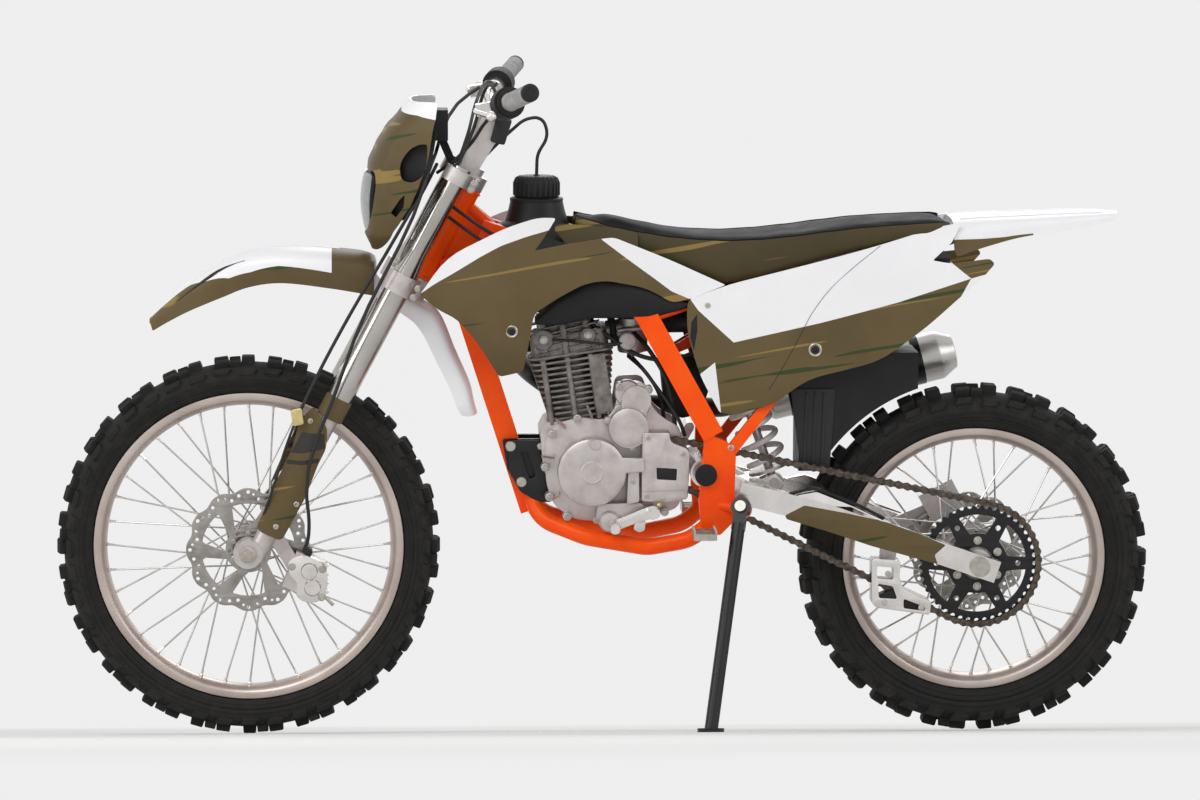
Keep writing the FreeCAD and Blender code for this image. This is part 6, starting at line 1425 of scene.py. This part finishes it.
# Silencer: end cone, straps and a bore in its tail
canRun = Vector((sqrt(380 ** 2 - 90 ** 2), 0, 90)).normalized()
canStart = Vector((272, 158, 592))
makePiece("silencer_can", turned([(0, 24), (4, 30), (26, 43), (30, 45), (348, 45), (352, 44), (370, 34),
                                  (378, 30), (380, 24), (380, 20), (352, 19), (352, 0.1)],
                                 canStart, canRun, 56), "silencer", replaces="silencer", sharp=30)
makePiece("silencer_straps", [turned([(at, 44.6), (at, 46.0), (at + 16, 46.0), (at + 16, 44.6)], canStart,
                                     canRun, 56, closed=True) for at in (60, 300)], "blackMetal", sharp=30)
print("engine dressed")

# Fork guards: olive with two dark bands and a clamp for the hose
guardLoop = rounded(((-539, 616, 5), (-515, 577, 5), (-515, 558), (-518, 538), (-531, 512), (-555, 450),
                     (-597, 373, 10), (-644, 395, 14), (-619, 449), (-588, 521), (-580, 534), (-567, 577),
                     (-556, 599, 6)), 6)
guardBands = (((-600, 572), (-500, 566), (-500, 544), (-560, 532), (-600, 534)),
              ((-600, 521), (-560, 519), (-500, 528), (-500, 519), (-560, 511), (-600, 514)))


# Part of a band that lies on the guard
def clipped(zone, outline):
    zone = [Vector(p) for p in zone]
    spots = [a.lerp(b, k / 10) for a, b in zip(zone, zone[1:] + zone[:1]) for k in range(10)]
    return [spot for spot in spots if inside(spot, outline)]


def guardSurface(x, z):
    middle = forkPoint((z - 1013 - 28 * forkFore.z) / forkUp.z, 28)
    return Vector((x, -119.4 + min(12.0, 0.008 * ((x - middle.x) * cos(stance["rake"])) ** 2), z))


guardForm = skin(guardLoop, guardSurface, 2.6, [(clipped(zone, guardLoop), 1) for zone in guardBands],
                 pitch=8.0)
makePiece("fork_guards_printed", bothSides(guardForm), "camo", "dark", body="steering",
          replaces="fork_guards", sharp=30)
guardScrews = [capScrew(guardSurface(x, z) + rightward, leftward, 5, 3) for x, z in (
    (-545, 590), (-570, 440), (-607, 400))]
makePiece("fork_guard_screws", bothSides(guardScrews), "zinc", body="steering")
makePiece("guard_hose_clamp", slab(((-580, 612), (-560, 616), (-556, 586), (-576, 582)), 4, -131, -118, 2),
          "brass", body="steering", slot="cast_silver")

# Rings round both fork legs: name, finish, place along the fork and profile
for name, look, up, profile in (
    ("fork_seal_collars", "camo", -2, [(0, 18.4), (0, 23.6), (3, 24.6), (38, 24.6), (41, 23.4), (41, 18.4)]),
    ("fork_tube_ends", "fork", 38, [(0, 18.4), (0, 22.4), (1.5, 23.2), (42, 23.2), (42, 18.4)]),
    ("fork_dust_seals", "rubber", 39, [(0, 18.2), (0, 21.5), (5, 21.5), (7, 19.5), (7, 18.2)]),
):
    makePiece(name, [turned(profile, forkPoint(-488 + up, 28, side * 97), forkUp, 40, closed=True)
                     for side in (-1, 1)],
              look, body="steering", sharp=30)

# Front axle: end cap and nut on the left leg
axle = stance["frontAxle"]
makePiece("front_axle_nut", [pin(axle + leftward * 116, axle + leftward * 122.6, 15, 1.2, 28),
                             turned([(0, 9), (2.4, 9), (3.4, 8), (3.4, 4), (0.6, 3.6)],
                                    axle + leftward * 121.6, leftward, 6)], "zinc", body="steering", sharp=30)

# Front caliper: two-piston body with ribs, slide boots, banjo and bolts
caliperForms = [slab(((-587, 331), (-574, 340), (-556, 344), (-530, 334), (-517, 318), (-514, 292),
                      (-520, 268), (-534, 256), (-560, 258), (-572, 268), (-570, 292), (-584, 306)),
                     6, -86, -66, 3.5)]
caliperForms += [turned([(0, 15.5), (5, 15.5), (7.4, 13.4), (7.8, 8), (7.2, 0.1)], (x, -84, z), leftward, 32)
                 for x, z in ((-548, 314), (-542, 284))]
caliperForms += [slab(((-527, z), (-513, z + 3), (-513, z + 8), (-527, z + 6)), 2, -84, -60, 1.0)
                 for z in range(270, 319, 16)]
makePiece("front_caliper_body", caliperForms, "bright", body="steering", slot="cast_silver", sharp=30)
makePiece("front_caliper_boots", [pin((-581, -80, 331), (-581, -48, 331), 8, 2),
                                  pin((-549, -80, 347), (-549, -48, 347), 7, 2)], "rubber", body="steering")
makePiece("front_caliper_bolts", [
    bolt((-579, -86, 322), leftward, 5.5, 4), bolt((-526, -86, 266), leftward, 5.5, 4),
    pin((-522, -76, 268), (-505, -76, 250), 3.2, 0.6, 10), bolt((-524, -86, 318), leftward, 6.2, 5)],
          "zinc", body="steering")

# Fork clamps' pinch bolts and the stem nut
clampForms = []
for side in (-1, 1):
    clampForms += [bolt(forkPoint(up, -2, side * 124), rightward * side, 5.2, 4.2)
                   for up in (-8, 4, -226, -208)]
    clampForms += [bolt(forkPoint(10, fore, side * 97), forkUp, 5.0, 3.0) for fore in (-6, 26)]
clampForms.append(turned([(0, 15), (9, 15), (11, 13.4), (11, 7), (4, 6.6)], forkPoint(14, 0), forkUp, 6))
makePiece("fork_clamp_bolts", clampForms, "zinc", body="steering", sharp=30)

# Grips: ribbed sleeves with a flange inboard and a dark plug
ribbed = [(4.6, 11.3), (5.2, 16.6), (9, 15.9)]
for k in range(17):
    ribbed += [(11.6 + k * 6.1 + step, radius)
               for step, radius in ((0, 15.9), (0.8, 14.7), (2.2, 14.7), (3, 15.9))]
ribbed += [(116.5, 15.9), (117.5, 11.3)]
grips, plugs, levers = [], [], []
for side in (-1, 1):
    end = Vector((-165, side * 392, 1195))
    run = (end - Vector((-220, side * 190, 1152))).normalized()
    inner = end - run * 118
    grips.append(turned(ribbed, inner, run, 48, closed=True))
    plugs += [turned([(0, 15.9), (6.4, 15.9), (7.6, 14.4), (7.8, 9), (6.8, 8), (6.8, 0.1)], end, run, 40),
              turned([(0, 11.3), (0.4, 22.6), (1.6, 23.8), (3.6, 23.8), (5, 22.6), (5, 11.3)], inner, run, 48,
                     closed=True)]
    levers.append(pin((-196, side * 262, 1160), (-204, side * 262, 1150), 4, 1))
makePiece("grips_ribbed", grips, "grip", body="steering", replaces="grips", sharp=40)
makePiece("grip_flanges", plugs, "blackPlastic", body="steering", sharp=40)
makePiece("switch_levers", levers, "red", body="steering")

# Cables: body and routes
cables = {
    "clutch_cable": ("steering", [(-214, -236, 1176), (-226, -200, 1196), (-238, -140, 1176),
                                  (-252, -112, 1120), (-276, -106, 1060), (-300, -92, 1020),
                                  (-322, -66, 976)]),
    "throttle_cable": ("steering", [(-206, 214, 1168), (-226, 170, 1176), (-246, 60, 1146), (-262, -40, 1100),
                                    (-282, -84, 1050), (-304, -80, 1010), (-328, -50, 966)]),
    "switch_loom": ("steering", [(-196, -268, 1146), (-216, -220, 1150), (-236, -130, 1122),
                                 (-258, -100, 1086), (-290, -84, 1052), (-318, -60, 1030)]),
    "speedometer_cable": ("steering", [(-318, -40, 1044), (-344, -100, 1000), (-368, -116, 962),
                                       (-418, -114, 876), (-470, -114, 788), (-518, -116, 700),
                                       (-557, -124, 622), (-568, -127, 600)]),
    "head_cables": ("chassis", *[[(-298, -46, high), (-262, -54, high - 26), (-222, -60, high - 52),
                                  (-176, -57, high - 72)] for high in (974, 950)]),
}
for name, (body, *routes) in cables.items():
    makePiece(name, [sweep(smoothLine(route), roundLoop(3.1, 10)) for route in routes], "rubber", body=body,
              sharp=60)
makePiece("speed_sensor_lead", sweep(smoothLine([(-572, -127, 590), (-590, -124, 540), (-612, -122, 470),
                                                 (-632, -110, 410), (-640, -90, 372)]), roundLoop(2.4, 8)),
          "rubber", body="steering")
# Black rubber block that the bar's clamp carries
makePiece("bar_clamp_block", slab(((-213, 1126), (-184, 1126), (-198, 1080), (-224, 1087)), 5, -78, -62.4, 3),
          "rubber", body="steering", slot="black_plastic")
print("front end dressed")

# CAD nodes that stay in sight: slot and finish, with each node's edge softening in millimetres
keptNodes = {
    ("frame_orange", "orange"): {"frame_head": 1.5, "frame_spars": 3.0, "frame_cradle": 0, "subframe": 1.5},
    ("bright_steel", "bright"): {"foot_controls": 1.0, "handlebar": 0, "hand_levers": 1.0},
    ("bright_steel", "zinc"): {"frame_pins": 0.8, "rear_axle": 0.8, "front_axle": 0.8},
    ("bright_steel", "cast"): {"shock_absorber": 0.8},
    ("bright_steel", "fork"): {"fork_tubes": 0},
    ("cast_silver", "bright"): {"swingarm": 2.0},
    ("cast_silver", "cast"): {"crankcase": 1.5, "carburettor": 0.8, "rear_caliper": 1.5, "triple_clamps": 2.0,
                              "fork_legs": 1.5, "front_caliper": 1.5},
    ("cast_silver", "paintedShadeCast"): {"cylinder": 0.5, "cylinder_head": 1.5},
    ("spring_white", "spring"): {"shock_spring": 0},
    ("black_metal", "blackMetal"): {"front_sprocket": 0.4, "engine_plates": 0.8, "exhaust_pipe": 0,
                                    "side_stand": 0.8},
    ("black_plastic", "blackPlastic"): {"airbox": 2.5, "switchgear": 1.5},
    ("hose_rubber", "rubber"): {"intake_boot": 0, "brake_hose": 0, "vent_hose": 0},
}
for (slotName, look), nodes in keptNodes.items():
    for node, soft in nodes.items():
        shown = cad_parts[node]
        if soft:
            softenEdges(shown, soft)
        if not shown.data.materials:
            shown.data.materials.append(None)
        for holder in shown.material_slots:
            holder.link = "OBJECT"
            holder.material = finishes[look]

studio = {
    "paper": "EFEFEE", "backdrop": (0.86, 0.86, 0.86, 1), "fill": 0.5, "near": 1.6, "far": 5.5,
    "lamps": (("key", (-1.6, -3.4, 3.4), 2.2, 62), ("front", (-3.6, -1.6, 1.6), 1.6, 22),
              ("rear", (3.2, -2.2, 2.2), 1.8, 26), ("back", (0.6, 3.2, 3.0), 2.2, 36)),
}


# Floor that fades to the plain background a few metres away, and the light
def makeStudio():
    ground = bpy.data.materials.new("studioPaper")
    ground.use_nodes = True
    tree = ground.node_tree
    matt = tree.nodes["Principled BSDF"]
    matt.inputs["Base Color"].default_value = linear(studio["paper"])
    matt.inputs["Roughness"].default_value = 0.9
    place = addNode(tree, "ShaderNodeTexCoord").outputs["Object"]
    away = addNode(tree, "ShaderNodeVectorMath", {0: place}, operation="LENGTH")
    fade = addNode(tree, "ShaderNodeMapRange", {"Value": away.outputs["Value"], "From Min": studio["near"],
                                                "From Max": studio["far"]}, interpolation_type="SMOOTHSTEP")
    glow = addNode(tree, "ShaderNodeEmission", {"Color": studio["backdrop"], "Strength": 1.0})
    blend = addNode(tree, "ShaderNodeMixShader", {0: fade.outputs[0], 1: matt.outputs[0], 2: glow.outputs[0]})
    tree.links.new(blend.outputs[0], tree.nodes["Material Output"].inputs["Surface"])
    mesh = bpy.data.meshes.new("studio_floor")
    mesh.from_pydata([(cos(a) * 40, sin(a) * 40, 0) for a in turns(64)], [], [tuple(range(64))])
    mesh.materials.append(ground)
    floor = bpy.data.objects.new("studio_floor", mesh)
    bpy.context.scene.collection.objects.link(floor)
    floor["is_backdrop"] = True

    world = bpy.data.worlds.new("studio")
    bpy.context.scene.world = world
    world.use_nodes = True
    tree = world.node_tree
    tree.nodes.clear()
    ray = addNode(tree, "ShaderNodeLightPath")
    seen = ray.outputs["Is Camera Ray"]
    for kind in ("Is Glossy Ray", "Is Transmission Ray"):
        seen = addNode(tree, "ShaderNodeMath", {0: seen, 1: ray.outputs[kind]},
                       operation="MAXIMUM").outputs[0]
    fill = addNode(tree, "ShaderNodeBackground", {"Color": (1, 1, 1, 1), "Strength": studio["fill"]})
    plain = addNode(tree, "ShaderNodeBackground", {"Color": studio["backdrop"], "Strength": 1.0})
    blend = addNode(tree, "ShaderNodeMixShader", {0: seen, 1: fill.outputs[0], 2: plain.outputs[0]})
    addNode(tree, "ShaderNodeOutputWorld", {"Surface": blend.outputs[0]})

    for name, place, size, power in studio["lamps"]:
        light = bpy.data.lights.new(name, "AREA")
        light.size = size
        light.energy = power
        holder = bpy.data.objects.new(name, light)
        holder.location = place
        holder.rotation_euler = (Vector((0, 0, 0.6)) - Vector(place)).to_track_quat("-Z", "Y").to_euler()
        bpy.context.scene.collection.objects.link(holder)


makeStudio()

# The camera stands to the bike as the photograph's did, worked out for a frame of 1200 by 800
view = {"eye": Vector((-467.2, -8996.5, 1786.2)), "yaw": 0.04947, "pitch": 0.12962, "roll": 0.00452,
        "focalPixels": 5012.8, "frameWidth": 1200, "sensor": 36.0}
gaze = Vector((sin(view["yaw"]) * cos(view["pitch"]), cos(view["yaw"]) * cos(view["pitch"]),
               -sin(view["pitch"])))
level = Vector((cos(view["yaw"]), -sin(view["yaw"]), 0))
lift = level.cross(gaze)
axes = [leanTurn.to_3x3() @ v for v in (level * cos(view["roll"]) + lift * sin(view["roll"]),
                                        lift * cos(view["roll"]) - level * sin(view["roll"]), -gaze)]
camera = bpy.data.cameras.new("camera")
camera.sensor_width = view["sensor"]
camera.lens = view["sensor"] * view["focalPixels"] / view["frameWidth"]
camera.clip_end = 200
standing = bpy.data.objects.new("camera", camera)
standing.matrix_world = Matrix.Translation(parked @ view["eye"]) @ Matrix(axes).transposed().to_4x4()
bpy.context.scene.collection.objects.link(standing)
bpy.context.scene.camera = standing
bpy.context.scene.view_settings.view_transform = "Standard"
print("nodes, studio and camera ready")

bpy.context.view_layer.update()
low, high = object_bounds()
